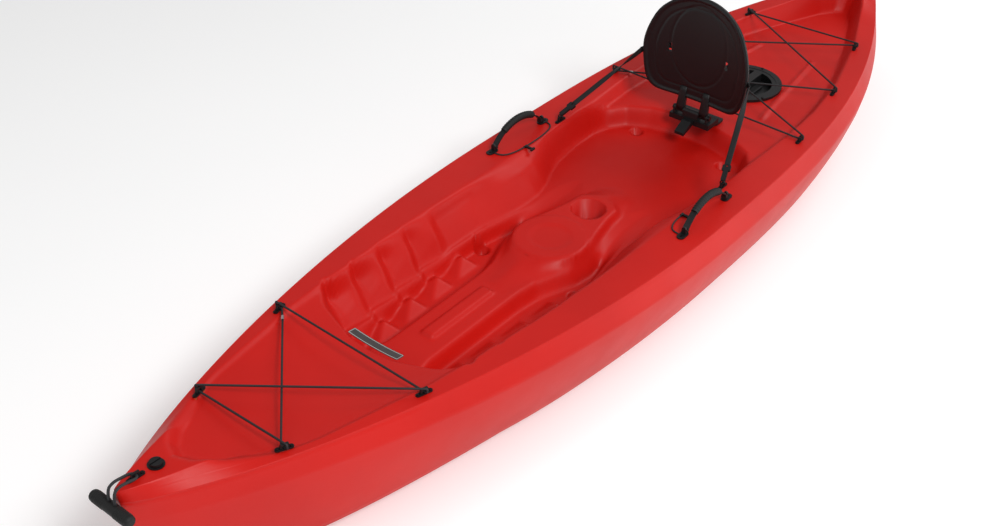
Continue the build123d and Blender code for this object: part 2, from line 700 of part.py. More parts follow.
# ---------------------------------------------------------------- paddle keepers
STARBOARD_KEEPER = [(-136, -286.7, 258.5), (-135, -274, 258.5), (-124, -262, 258.5), (-104, -254.5, 258.5),
                    (-74, -250.5, 258.5), (-38, -249, 258.5), (0, -249.5, 258.6), (34, -252, 259),
                    (60, -258, 259.4), (76, -268, 259.7), (81.5, -282, 259.8), (82, -291.7, 259.8)]
PORT_KEEPER = [(82, 291.7, 259.8), (81.5, 281, 259.8), (76, 269, 259.7), (62, 260, 259.4), (42, 255, 259.1),
               (22, 253, 258.8), (6, 252.5, 258.7)]


def keeper_hook(x, y, z, inboard):
    """Small moulded T hook, sleeved on its cord, with its stem across the deck."""
    with BuildPart() as hook:
        with BuildSketch(Plane(origin=(x - KEEPER_SLEEVE / 2, y, z), z_dir=(1, 0, 0))):
            Circle(KEEPER_CORD / 2 + 1.8)
        extrude(amount=KEEPER_SLEEVE)
        with BuildSketch(Plane.XY.offset(z - 1.6)):
            with Locations((x, y + inboard * KEEPER_STEM / 2)):
                RectangleRounded(6, KEEPER_STEM, 2)
            with Locations((x, y + inboard * KEEPER_STEM)):
                RectangleRounded(16, 6, 2)
        extrude(amount=5)
        with BuildSketch(Plane(origin=(x - KEEPER_SLEEVE / 2 - 1, y, z), z_dir=(1, 0, 0))):
            Circle(KEEPER_CORD / 2 + PLAY)
        extrude(amount=KEEPER_SLEEVE + 2, mode=Mode.SUBTRACT)
        with BuildSketch(Plane.XY.offset(z - 8)):
            with Locations((x, y)):
                Rectangle(80, 90)
        extrude(amount=8 - KEEPER_CORD / 2 - 0.1, mode=Mode.SUBTRACT)
    return hook.part


tube("starboard_keeper_cord", STARBOARD_KEEPER, KEEPER_CORD)
tube("port_keeper_cord", PORT_KEEPER, KEEPER_CORD)
save(keeper_hook(2, -249.6, 258.6, 1), "starboard_keeper_hook")
save(keeper_hook(6, 252.5, 258.7, 1), "port_keeper_hook")

# ---------------------------------------------------------------- hatch
with BuildPart() as hatch_ring:
    with BuildSketch(Plane.XY.offset(TRAY_FLOOR)):
        with Locations((HATCH_X, 0)):
            Circle(HATCH_FLANGE)
            Circle(HATCH_THROAT, mode=Mode.SUBTRACT)
            with PolarLocations(RING_SCREW_RADIUS, RING_SCREWS):
                Circle(SCREW_RADIUS + 0.1, mode=Mode.SUBTRACT)
    extrude(amount=HATCH_HEIGHT)
    with BuildSketch(Plane.XY.offset(TRAY_FLOOR - HATCH_REACH)):
        with Locations((HATCH_X, 0)):
            Circle(HATCH_THROAT + HATCH_TUBE)
            Circle(HATCH_THROAT, mode=Mode.SUBTRACT)
    extrude(amount=HATCH_REACH)
    with BuildSketch(Plane.XY.offset(TRAY_FLOOR - HATCH_REACH)):
        with Locations((HATCH_X, 0)):
            Circle(HATCH_THROAT + 1)
            Circle(HATCH_LEDGE, mode=Mode.SUBTRACT)
    extrude(amount=HATCH_LEDGE_THICKNESS)
save(hatch_ring.part, "hatch_ring")

LID_LOW = TRAY_FLOOR - HATCH_REACH + HATCH_LEDGE_THICKNESS + SEAL_HEIGHT
with BuildPart() as hatch_seal:
    with BuildSketch(Plane.XY.offset(LID_LOW - SEAL_HEIGHT)):
        with Locations((HATCH_X, 0)):
            Circle(HATCH_THROAT - 1)
            Circle(HATCH_LEDGE + 1, mode=Mode.SUBTRACT)
    extrude(amount=SEAL_HEIGHT)
save(hatch_seal.part, "hatch_seal")

with BuildPart() as hatch_lid:
    with BuildSketch(Plane.XY.offset(LID_LOW)):
        with Locations((HATCH_X, 0)):
            Circle(HATCH_THROAT - PLAY)
    extrude(amount=TRAY_FLOOR + HATCH_HEIGHT - 1 - LID_LOW)
    with BuildSketch(Plane.XY.offset(LID_LOW + LID_WALL)):
        with Locations((HATCH_X, 0)):
            Circle(LID_POCKET)
    extrude(amount=40, mode=Mode.SUBTRACT)
    with BuildSketch(Plane.XY.offset(LID_LOW + LID_WALL / 2)):
        with Locations((HATCH_X, 0)):
            Rectangle(2 * LID_POCKET + 4, LID_BAR)
    extrude(amount=TRAY_FLOOR + HATCH_HEIGHT - 3 - LID_LOW)
    for side in (1, -1):
        with BuildSketch(Plane.XY.offset(LID_LOW + LID_WALL)):
            with Locations((HATCH_X, side * (LID_BAR / 2 + 24))):
                RectangleRounded(LID_POCKET, 5, 2)
        extrude(amount=8)
save(hatch_lid.part, "hatch_lid")

RING_PLANES = [Plane(origin=(x, y, TRAY_FLOOR)) for x, y in RING_SCREW_PLACES]
save(Compound([screw(p, HATCH_HEIGHT) for p in RING_PLANES]), "hatch_screws")

# ---------------------------------------------------------------- drain plug
with BuildPart() as drain_bushing:
    with BuildSketch(DRAIN_PLANE):
        Circle(DRAIN_FLANGE)
    extrude(amount=2)
    with BuildSketch(DRAIN_PLANE.offset(-DRAIN_DEPTH)):
        Circle(DRAIN_TUBE)
    extrude(amount=DRAIN_DEPTH)
    with BuildSketch(DRAIN_PLANE.offset(-DRAIN_DEPTH - 1)):
        Circle(DRAIN_BORE)
    extrude(amount=DRAIN_DEPTH + 5, mode=Mode.SUBTRACT)
save(drain_bushing.part, "drain_bushing")

with BuildPart() as drain_seal:
    with BuildSketch(DRAIN_PLANE.offset(2)):
        Circle(DRAIN_CAP - 2)
        Circle(DRAIN_BORE + 0.5, mode=Mode.SUBTRACT)
    extrude(amount=1.5)
save(drain_seal.part, "drain_seal")

with BuildPart() as drain_plug:
    with BuildSketch(DRAIN_PLANE.offset(3.5)):
        Circle(DRAIN_CAP)
    extrude(amount=5)
    with BuildSketch(DRAIN_PLANE.offset(-DRAIN_DEPTH)):
        Circle(DRAIN_BORE - PLAY)
    extrude(amount=DRAIN_DEPTH + 4)
    with BuildSketch(DRAIN_PLANE.offset(6)):
        Rectangle(2 * DRAIN_CAP + 2, 3.2)
    extrude(amount=4, mode=Mode.SUBTRACT)
save(drain_plug.part, "drain_plug")

# ---------------------------------------------------------------- backrest
SIDE_ON = Plane(origin=(0, 0, 0), x_dir=(1, 0, 0), z_dir=(0, -1, 0))
with BuildPart() as backrest_shell:
    with BuildSketch(Plane(origin=(-540, 0, 0), x_dir=(0, 1, 0), z_dir=(1, 0, 0))):
        with BuildLine():
            ThreePointArc((-BACK_SHOULDER[0], BACK_SHOULDER[1]), (0, BACK_TOP), BACK_SHOULDER)
            ThreePointArc(BACK_SHOULDER, (BACK_HALF_WIDTH, BACK_WIDE_Z), BACK_LOW)
            ThreePointArc(BACK_LOW, (BACK_HALF_WIDTH - 31, BACK_BOTTOM + 11), BACK_FOOT)
            Line(BACK_FOOT, (-BACK_FOOT[0], BACK_FOOT[1]))
            ThreePointArc((-BACK_FOOT[0], BACK_FOOT[1]), (31 - BACK_HALF_WIDTH, BACK_BOTTOM + 11),
                          (-BACK_LOW[0], BACK_LOW[1]))
            ThreePointArc((-BACK_LOW[0], BACK_LOW[1]), (-BACK_HALF_WIDTH, BACK_WIDE_Z),
                          (-BACK_SHOULDER[0], BACK_SHOULDER[1]))
        make_face()
        with Locations((SLOT_Y, SLOT_Z), (-SLOT_Y, SLOT_Z)):
            Rectangle(SLOT_WIDTH, SLOT_HEIGHT, mode=Mode.SUBTRACT)
    extrude(amount=160)
    with BuildSketch(Plane.XY.offset(BACK_BOTTOM - 20)):
        with Locations((BACK_CENTRE_X + BACK_CURVE, 0)):
            Circle(BACK_CURVE + BACK_SHELL)
            Circle(BACK_CURVE, mode=Mode.SUBTRACT)
    extrude(amount=BACK_TOP - BACK_BOTTOM + 40, mode=Mode.INTERSECT)
    px, pz = BACK_PIN
    for side in (1, -1):
        with BuildSketch(SIDE_ON.offset(-side * LEG_Y)):
            Polygon((px - LEG_EYE, pz), (px + LEG_EYE, pz), (px + 2, pz + 40), (px - 5, pz + 66),
                    (px - 12, pz + 66), (px - 12, pz + 40), align=None)
            with Locations((px, pz)):
                Circle(LEG_EYE)
                Circle(BACK_PIN_RADIUS + RUN, mode=Mode.SUBTRACT)
        extrude(amount=LEG_WIDTH / 2, both=True)
save(backrest_shell.part, "backrest_shell")

with BuildPart() as backrest_pin:
    with BuildSketch(SIDE_ON):
        with Locations(BACK_PIN):
            Circle(BACK_PIN_RADIUS)
    extrude(amount=BACK_PIN_LENGTH / 2, both=True)
    for side in (1, -1):
        with BuildSketch(SIDE_ON.offset(side * (BACK_PIN_LENGTH / 2 + 2))):
            with Locations(BACK_PIN):
                Circle(BACK_PIN_RADIUS + 3)
        extrude(amount=2, both=True)
save(backrest_pin.part, "backrest_pin")

EAR_OUT = BACK_PIN_LENGTH / 2 - PLAY
EAR_IN = LEG_Y + LEG_WIDTH / 2 + 0.6
with BuildPart() as backrest_bracket:
    with BuildSketch(Plane.XY.offset(TRAY_FLOOR)):
        with Locations(((BRACKET_AFT + BRACKET_MID) / 2, 0)):
            RectangleRounded(BRACKET_MID - BRACKET_AFT, 2 * BRACKET_HALF, 5)
        with Locations(*BRACKET_SCREWS):
            Circle(SCREW_RADIUS + 0.1, mode=Mode.SUBTRACT)
    extrude(amount=BRACKET_PLATE)
    with BuildSketch(Plane.XY.offset(TRAY_FLOOR + BRACKET_PLATE - 1)):
        with Locations(((BRACKET_MID - 8 + BRACKET_FORE) / 2, 0)):
            Rectangle(BRACKET_FORE - BRACKET_MID + 8, 2 * BRACKET_HALF)
    extrude(amount=BRACKET_TOP - TRAY_FLOOR - BRACKET_PLATE + 1)
    with BuildSketch(SIDE_ON):
        Polygon((BRACKET_FORE - 6, BRACKET_TOP), (BRACKET_FORE - 6, BRACKET_TOP - 12),
                (BRACKET_FORE + 8, BRACKET_TOP - 18), (BRACKET_TIP, BRACKET_TOP - 30),
                (BRACKET_TIP, BRACKET_TOP - 22), (BRACKET_FORE + 10, BRACKET_TOP - 2), align=None)
    extrude(amount=15, both=True)
    for near, far in ((EAR_IN, EAR_OUT), (-EAR_OUT, -EAR_IN), (-LEG_Y + LEG_WIDTH / 2 + 0.6,
                                                               LEG_Y - LEG_WIDTH / 2 - 0.6)):
        with BuildSketch(SIDE_ON.offset(-far)):
            Polygon((px - LEG_EYE - 2, BRACKET_TOP - 2), (px + LEG_EYE + 2, BRACKET_TOP - 2),
                    (px + LEG_EYE, pz), (px - LEG_EYE, pz), align=None)
            with Locations(BACK_PIN):
                Circle(LEG_EYE)
                Circle(BACK_PIN_RADIUS + RUN, mode=Mode.SUBTRACT)
        extrude(amount=far - near)
save(backrest_bracket.part, "backrest_bracket")
save(Compound([screw(Plane(origin=(x, y, TRAY_FLOOR)), BRACKET_PLATE) for x, y in BRACKET_SCREWS]),
     "bracket_screws")


# ---------------------------------------------------------------- backrest straps
def band(start, finish, width, thickness, spread):
    """Flat length of webbing between two points, its width as near to spread as it can lie."""
    along = finish - start
    across = spread - along * (spread.dot(along) / along.dot(along))
    with BuildPart() as flat:
        with BuildSketch(Plane(origin=start, x_dir=across, z_dir=along)):
            Rectangle(width, thickness)
        extrude(amount=along.length)
    return flat.part


def back_face(y):
    """x of the shell's back at a distance y from the middle."""
    reach = BACK_CURVE + BACK_SHELL
    return BACK_CENTRE_X + BACK_CURVE - (reach * reach - y * y) ** 0.5


def strap_points():
    """Where the port strap is sewn behind its slot, leaves the shell's edge and ends at its hook."""
    eye = EYE_PLANES[-1]
    bar = eye.origin + eye.z_dir * (EYE_BASE + EYE_HOLE + EYE_BAR / 2)
    behind = WEB_THICKNESS / 2 + 2 * PLAY
    sewn = Vector(back_face(SLOT_Y) - behind, SLOT_Y, SLOT_Z)
    bend = Vector(back_face(135) - behind - 0.5, 135, SLOT_Z - 16)
    edge = Vector(back_face(BACK_HALF_WIDTH) - behind + 2, BACK_HALF_WIDTH + 10, SLOT_Z - 33)
    start = bar + Vector(0, 0, HOOK_EYE + 1)
    pull = (edge - start).normalized()
    return sewn, bend, edge, start + pull * HOOK_LENGTH, bar, start, pull


def hook_ring(bar):
    """Ring of the strap hook, round the eye's bar."""
    with BuildPart() as ring:
        with BuildSketch(Plane(origin=bar, x_dir=(0, 1, 0), z_dir=(0, 0, 1))):
            with Locations((HOOK_EYE, 0)):
                Circle(HOOK_WIRE)
        revolve(axis=Axis(bar, (1, 0, 0)))
    return ring.part


sewn, bend, edge, end, bar, start, pull = strap_points()
up = Vector(0, 0, 1)
slot_way = Vector(1, 0, 0)
with BuildPart() as back_strap:
    add(band(sewn, bend, WEB_WIDTH, WEB_THICKNESS, up))
    add(band(bend, edge, WEB_WIDTH, WEB_THICKNESS, up))
    add(band(edge, end, WEB_WIDTH, WEB_THICKNESS, up))
    add(band(sewn - slot_way, sewn + slot_way * (BACK_SHELL + 4), WEB_WIDTH, WEB_THICKNESS, up))
    add(band(sewn + slot_way * (BACK_SHELL + 3.4), sewn + slot_way * (BACK_SHELL + 6), WEB_WIDTH,
             SLOT_WIDTH + 4, up))
across = pull.cross(Vector(0, 1, 0))
with BuildPart() as strap_hook:
    with BuildSketch(Plane(origin=start, x_dir=pull, z_dir=across)):
        with Locations((HOOK_LENGTH / 2 - 6, 0)):
            RectangleRounded(HOOK_LENGTH - 10, HOOK_WIDTH, 4)
        with Locations((HOOK_LENGTH - 7, 0)):
            RectangleRounded(18, WEB_WIDTH + 6, 3)
    extrude(amount=HOOK_THICKNESS / 2, both=True)
    add(hook_ring(bar))
    add(band(end - pull * 4, end + pull * 20, WEB_WIDTH + 1, WEB_THICKNESS + 1, up), mode=Mode.SUBTRACT)
for piece, word in ((back_strap.part, "back_strap"), (strap_hook.part, "strap_hook")):
    starboard_piece = mirror(piece, about=Plane.XZ)
    save(piece, "port_" + word)
    save(starboard_piece, "starboard_" + word)
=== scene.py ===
import bpy
import bmesh
import math
import numpy as np
from mathutils import Matrix, Vector


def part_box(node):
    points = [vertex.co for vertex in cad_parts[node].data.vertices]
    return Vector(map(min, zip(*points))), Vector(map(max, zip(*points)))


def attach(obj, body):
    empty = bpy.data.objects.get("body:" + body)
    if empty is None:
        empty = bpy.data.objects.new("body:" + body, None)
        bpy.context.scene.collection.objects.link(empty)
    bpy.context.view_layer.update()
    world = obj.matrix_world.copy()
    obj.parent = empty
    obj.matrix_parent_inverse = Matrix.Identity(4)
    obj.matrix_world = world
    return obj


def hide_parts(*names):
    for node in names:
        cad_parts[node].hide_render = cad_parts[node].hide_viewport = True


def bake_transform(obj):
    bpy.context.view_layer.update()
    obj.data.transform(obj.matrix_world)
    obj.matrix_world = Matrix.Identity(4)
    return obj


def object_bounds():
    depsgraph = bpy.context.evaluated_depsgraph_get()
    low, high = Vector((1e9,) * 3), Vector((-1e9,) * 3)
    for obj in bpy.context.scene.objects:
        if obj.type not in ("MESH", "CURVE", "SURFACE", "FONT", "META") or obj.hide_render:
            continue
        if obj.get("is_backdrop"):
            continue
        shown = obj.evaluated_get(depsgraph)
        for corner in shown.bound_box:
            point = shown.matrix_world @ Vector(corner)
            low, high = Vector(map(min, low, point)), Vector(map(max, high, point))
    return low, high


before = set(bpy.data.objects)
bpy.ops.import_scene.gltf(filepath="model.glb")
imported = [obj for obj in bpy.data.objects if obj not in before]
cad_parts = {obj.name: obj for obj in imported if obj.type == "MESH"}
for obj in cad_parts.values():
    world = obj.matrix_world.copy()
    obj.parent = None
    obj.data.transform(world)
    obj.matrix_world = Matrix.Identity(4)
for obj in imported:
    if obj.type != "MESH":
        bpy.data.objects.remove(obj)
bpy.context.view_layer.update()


# ---------------------------------------------------------------- moulded hull
# One rotationally moulded polyethylene shell: side strips, hollow foredeck, footwells with heel braces,
# seat, console with a cup holder, and the sunken stern deck. Its skin is satin with a faint orange peel.
class Socket:
    """A node output, with the arithmetic that the finishes need."""

    def __init__(self, material, output):
        self.material = material
        self.output = output

    def maths(self, operation, other, swapped=False):
        first, second = (other, self) if swapped else (self, other)
        return self.material.node("ShaderNodeMath", {"operation": operation}, {0: first, 1: second})[0]

    def __add__(self, other):
        return self.maths("ADD", other)

    def __radd__(self, other):
        return self.maths("ADD", other)

    def __sub__(self, other):
        return self.maths("SUBTRACT", other)

    def __rsub__(self, other):
        return self.maths("SUBTRACT", other, swapped=True)

    def __mul__(self, other):
        return self.maths("MULTIPLY", other)

    def __rmul__(self, other):
        return self.maths("MULTIPLY", other)

    def sine(self):
        return self.maths("SINE", 0.0)

    def above(self, edge, width):
        """0 below the edge, 1 above it, with a soft step of that width."""
        low, high = edge - width / 2, edge + width / 2
        return self.material.node("ShaderNodeMapRange", {"interpolation_type": "SMOOTHSTEP"},
                                  {0: self, 1: low, 2: high, 3: 0.0, 4: 1.0})[0]


class Finish:
    """A material under construction."""

    def __init__(self, name, roughness, specular, metallic=0.0):
        self.material = bpy.data.materials.new(name)
        self.material.use_nodes = True
        self.tree = self.material.node_tree
        self.shader = self.tree.nodes["Principled BSDF"]
        self.shader.inputs["Roughness"].default_value = roughness
        self.shader.inputs["Specular IOR Level"].default_value = specular
        self.shader.inputs["Metallic"].default_value = metallic

    def node(self, kind, settings=None, sockets=None):
        made = self.tree.nodes.new(kind)
        for key, value in (settings or {}).items():
            setattr(made, key, value)
        for key, value in (sockets or {}).items():
            if isinstance(value, Socket):
                self.tree.links.new(value.output, made.inputs[key])
            else:
                made.inputs[key].default_value = value
        return [Socket(self, output) for output in made.outputs]

    def place(self):
        return self.node("ShaderNodeTexCoord")[3]

    def noise(self, scale, detail=2.0, rough=0.5, where=None):
        return self.node("ShaderNodeTexNoise", None, {"Vector": where or self.place(), "Scale": scale,
                                                      "Detail": detail, "Roughness": rough})[0]

    def mix(self, share, first, second):
        return self.node("ShaderNodeMix", {"data_type": "RGBA"},
                         {0: share, 6: (*first, 1.0) if isinstance(first, tuple) else first,
                          7: (*second, 1.0) if isinstance(second, tuple) else second})[2]

    def feed(self, name, value):
        self.tree.links.new(value.output, self.shader.inputs[name])

    def bump(self, height, depth, strength=1.0):
        self.feed("Normal", self.node("ShaderNodeBump", None, {"Strength": strength, "Distance": depth,
                                                               "Height": height})[0])


def red_hull_finish():
    """Through-coloured red plastic: slow colour drift, matt bloom in patches, orange peel and fine grain."""
    finish = Finish("red_polyethylene", 0.36, 0.24)
    drift = finish.noise(3.2, 3.0)
    grain = finish.noise(620.0, 2.0, 0.6)
    colour = finish.mix(drift.above(0.5, 0.5), (0.47, 0.0048, 0.0022), (0.54, 0.0070, 0.0036))
    finish.feed("Base Color", finish.mix(grain.above(0.66, 0.25) * 0.14, colour, (0.62, 0.05, 0.04)))
    bloom = finish.noise(14.0, 4.0, 0.6)
    finish.feed("Roughness", 0.36 + bloom * 0.16)
    peel = finish.noise(95.0, 2.0)
    finish.bump(peel * 0.55 + grain * 0.45, 0.00045, 0.55)
    return finish.material


HALF_LENGTH = 1.529
SEAT_FLOOR, FOOT_FLOOR_Z, CONSOLE_Z, TRAY_FLOOR = 0.170, 0.130, 0.190, 0.226


def ease(value):
    value = np.clip(value, 0.0, 1.0)
    return value * value * (3.0 - 2.0 * value)


def half_breadth(x):
    t = np.minimum(np.abs(x) / HALF_LENGTH, 1.0)
    bow = (1.0 - t ** 1.9) ** 0.82
    stern = (1.0 - t ** 3.0) ** 1.1
    return 0.007 + 0.349 * np.where(x > 0, bow, stern)


def sheer(x):
    t = np.abs(x) / HALF_LENGTH
    return 0.256 + np.where(x > 0, 0.063 * t ** 1.35, 0.053 * t ** 3.0)


def keel(x):
    t = np.maximum(np.abs(x) - 0.86, 0.0) / (HALF_LENGTH - 0.86)
    return 0.092 * t ** 3.0 + (sheer(x) - 0.112) * t ** 26.0


def both_sides(half):
    """Closed outline from its port half, listed from bow to stern."""
    return half + [(x, -y) for x, y in reversed(half) if y > 0]


def depth_inside(outline, x, y):
    """Distance of each point from the outline, positive inside it."""
    points = np.array(outline)
    nearest = np.full(x.shape, 1e9)
    inside = np.zeros(x.shape, bool)
    for (ax, ay), (bx, by) in zip(points, np.roll(points, -1, axis=0)):
        dx, dy = bx - ax, by - ay
        t = np.clip(((x - ax) * dx + (y - ay) * dy) / (dx * dx + dy * dy), 0, 1)
        nearest = np.minimum(nearest, (x - ax - t * dx) ** 2 + (y - ay - t * dy) ** 2)
        if dy != 0:
            crosses = (ay > y) != (by > y)
            inside ^= crosses & (x < ax + (y - ay) / dy * dx)
    return np.where(inside, 1, -1) * np.sqrt(nearest)


def sink(z, x, y, steps, soft=False, mirrored=False, rising=False):
    """Lower or raise the deck in nested outlines: steps are (outline, height); z is kept outside the first."""
    side = np.abs(y) if mirrored else y
    depths = [depth_inside(outline, x, side) for outline, height in steps]
    heights = [z] + [np.minimum(np.full(z.shape, height), z - 0.004 * len(steps)) if height < 0.25 and not rising
                     else np.full(z.shape, height) for outline, height in steps[1:]]
    result = z.copy()
    for i in range(len(steps) - 1):
        share = depths[i] / np.maximum(depths[i] - depths[i + 1], 1e-6)
        share = ease(share) if soft else np.clip(share, 0, 1)
        band = (depths[i] > 0) & (depths[i + 1] <= 0)
        result = np.where(band, heights[i] + (heights[i + 1] - heights[i]) * share, result)
    return np.where(depths[-1] > 0, heights[-1], result)


# side strip's inner edge, as (x, y) of the port side
STRIP = np.array([(-1.53, 0.012), (-1.36, 0.075), (-1.086, 0.172), (-0.847, 0.236), (-0.66, 0.262),
                  (-0.5, 0.266), (-0.3, 0.262), (-0.1, 0.252), (0.22, 0.248), (0.36, 0.247), (0.547, 0.240),
                  (0.744, 0.222), (0.895, 0.209), (1.166, 0.156), (1.34, 0.092), (1.53, 0.012)])
WALL_ROWS = np.array([0, 0.004, 0.008, 0.012, 0.016, 0.020, 0.025, 0.030, 0.036, 0.043])
MIDDLE_ROWS = np.array([0, 0.006, 0.012, 0.0165, 0.0195, 0.025, 0.031, 0.037, 0.043, 0.049, 0.055, 0.060,
                        0.065, 0.070])
STRIP_ROWS = np.array([0.05, 0.14, 0.26, 0.38, 0.5, 0.62, 0.74, 0.85, 0.93, 0.975, 1.0])

x_lines = np.concatenate([np.linspace(-HALF_LENGTH, -0.8, 112, endpoint=False),
                          np.linspace(-0.8, -0.475, 54, endpoint=False),
                          np.linspace(-0.475, 0.885, 296, endpoint=False),
                          np.linspace(0.885, 1.418, 84, endpoint=False),
                          np.linspace(1.418, 1.454, 24, endpoint=False),
                          np.linspace(1.454, HALF_LENGTH, 13)])
strip_at = np.interp(x_lines, STRIP[:, 0], STRIP[:, 1])
edge_at = half_breadth(x_lines)
strip_at = np.minimum(strip_at, edge_at * 0.9)
rows = []
for x_line, inner, outer in zip(x_lines, strip_at, edge_at):
    scale = min(1.0, inner / 0.2)
    wall = inner - WALL_ROWS[::-1] * scale
    middle = MIDDLE_ROWS * scale
    between = np.linspace(middle[-1], wall[0], 30)[1:-1]
    strip = inner + (outer - inner) * STRIP_ROWS
    half = np.concatenate([middle, between, wall, strip])
    rows.append(np.concatenate([-half[:0:-1], half]))
deck_y = np.array(rows)
deck_x = np.repeat(x_lines[:, None], deck_y.shape[1], axis=1)

CUP = (0.051, 0.0)
HATCH = (-0.728, 0.0)
DRAIN = (1.436, 0.0)
SEAT_DRAINS = (-0.38, 0.1435)
FOOT_DRAINS = (0.305, 0.15)


def draw_in(x, y, centre, radius, reach):
    """Move the grid's points near a circle onto it, so that a round edge is round."""
    dx, dy = x - centre[0], y - centre[1]
    away = np.hypot(dx, dy) + 1e-9
    near = np.abs(away - radius) < reach
    scale = np.where(near, radius / away, 1.0)
    return centre[0] + dx * scale, centre[1] + dy * scale


for centre, radii in ((CUP, (0.0455, 0.0405)), (HATCH, (0.106, 0.099)), ((0.215, 0.0), (0.098,))):
    for radius in radii:
        deck_x, deck_y = draw_in(deck_x, deck_y, centre, radius, 0.0027)
for drain in (SEAT_DRAINS, FOOT_DRAINS):
    for side in (1, -1):
        for radius in (0.0195, 0.0145):
            deck_x, deck_y = draw_in(deck_x, deck_y, (drain[0], side * drain[1]), radius, 0.0026)

for radius in (0.0118, 0.0106):
    deck_x, deck_y = draw_in(deck_x, deck_y, DRAIN, radius, 0.0007)

across = np.abs(deck_y)
full = half_breadth(deck_x)
top = sheer(deck_x)
crown = 0.027 * ease((np.abs(deck_x) - 1.19) / 0.19)
deck_z = top + crown * np.clip((full - across) / (0.38 * full), 0, 1)

# foredeck: a hollow panel behind the raised nose cap
FOREDECK = both_sides([(1.404, 0), (1.386, 0.042), (1.345, 0.080), (1.25, 0.128), (1.166, 0.155),
                       (0.895, 0.208), (0.744, 0.222), (0.70, 0.20), (0.70, 0)])
into = depth_inside(FOREDECK, deck_x, deck_y)
half_panel = np.interp(deck_x, [0.744, 0.895, 1.166, 1.25, 1.345, 1.404],
                       [0.222, 0.208, 0.155, 0.128, 0.09, 0.05])
hollow = np.interp(deck_x, [0.78, 1.2, 1.3, 1.40], [0.037, 0.010, 0.004, 0.0])
arch = np.clip(1.0 - (across / half_panel) ** 2, 0, 1)
lip = 0.0045 + 0.007 * ease((deck_x - 1.2) / 0.15)
step_back = np.interp(deck_x, [1.2, 1.3], [0.010, 0.030])
sunk = (lip + 0.5 * (deck_z - top)) * ease(into / step_back) + hollow * arch
deck_z = np.where(into > 0, deck_z - sunk, deck_z)

# stern deck: a sunken tray that runs out in a point, with a pair of low ribs
TRAY_TOP = both_sides([(-0.30, 0.252), (-0.48, 0.262), (-0.66, 0.262), (-0.847, 0.234), (-1.086, 0.168),
                       (-1.29, 0.085), (-1.372, 0.035), (-1.392, 0)])
TRAY_LOW = both_sides([(-0.31, 0.238), (-0.48, 0.246), (-0.62, 0.238), (-0.77, 0.222), (-0.935, 0.182),
                       (-1.098, 0.130), (-1.29, 0.052), (-1.335, 0.02), (-1.345, 0)])
deck_z = sink(deck_z, deck_x, deck_y, [(TRAY_TOP, 0), (TRAY_LOW, TRAY_FLOOR)])
for side in (1, -1):
    middle = np.interp(deck_x, [-0.98, -0.58], [0.090, 0.141])
    ridge = np.clip(1 - np.abs(side * deck_y - middle) / 0.009, 0, 1)
    ends = ease((deck_x + 0.985) / 0.012) * ease((-0.575 - deck_x) / 0.012)
    deck_z = np.where((deck_x < -0.5) & (deck_x > -1.0), deck_z + 0.006 * ease(ridge * 1.8) * ends, deck_z)

# the middle of the deck lies a little below the side strips
beside = np.interp(deck_x, STRIP[:, 0], STRIP[:, 1]) - across
deck_z = deck_z - 0.0035 * ease(beside / 0.006) * ease((deck_x + 0.62) / 0.04) * ease((0.84 - deck_x) / 0.05)

# cockpit: walls with four heel braces a side, then the footwells, seat and console
BRACE = 0.0965
brace_top, brace_foot = [], []
for n in range(3, -1, -1):
    start = 0.423 + n * BRACE
    slope = 0.0015 * n
    brace_top += [(start + 0.074, 0.231 - 2 * slope), (start, 0.210 - 2 * slope)]
    brace_foot += [(start + 0.080, 0.190 - 6 * slope), (start + 0.004, 0.179 - 6 * slope)]
RIM = both_sides([(0.868, 0), (0.864, 0.06), (0.834, 0.172), (0.796, 0.2140), (0.744, 0.2175), (0.547, 0.2345),
                  (0.36, 0.241), (0.25, 0.2405), (0.10, 0.240), (-0.05, 0.243), (-0.14, 0.250), (-0.24, 0.254),
                  (-0.30, 0.252), (-0.348, 0.240), (-0.405, 0.200), (-0.443, 0.135), (-0.462, 0.06), (-0.466, 0)])
WALL_MID = both_sides([(0.862, 0), (0.857, 0.055), (0.828, 0.158), (0.796, 0.2115)] + brace_top
                      + [(0.395, 0.230), (0.26, 0.234), (0.215, 0.224), (0.15, 0.211), (0.085, 0.205),
                         (0.02, 0.208), (-0.035, 0.222), (-0.085, 0.237), (-0.14, 0.245), (-0.24, 0.249),
                         (-0.296, 0.247), (-0.342, 0.235), (-0.400, 0.195), (-0.437, 0.131),
                         (-0.456, 0.057), (-0.460, 0)])
WALL_FOOT = both_sides([(0.842, 0), (0.838, 0.05), (0.818, 0.128)] + brace_foot
                       + [(0.39, 0.187), (0.275, 0.183), (0.20, 0.168), (0.12, 0.158), (0.06, 0.161),
                          (0.0, 0.179), (-0.05, 0.203), (-0.10, 0.222), (-0.2, 0.236), (-0.285, 0.238),
                          (-0.340, 0.222), (-0.388, 0.186), (-0.420, 0.130), (-0.437, 0.06), (-0.441, 0)])
deck_z = sink(deck_z, deck_x, deck_y, [(RIM, 0), (WALL_MID, 0.232), (WALL_FOOT, 0.168)])

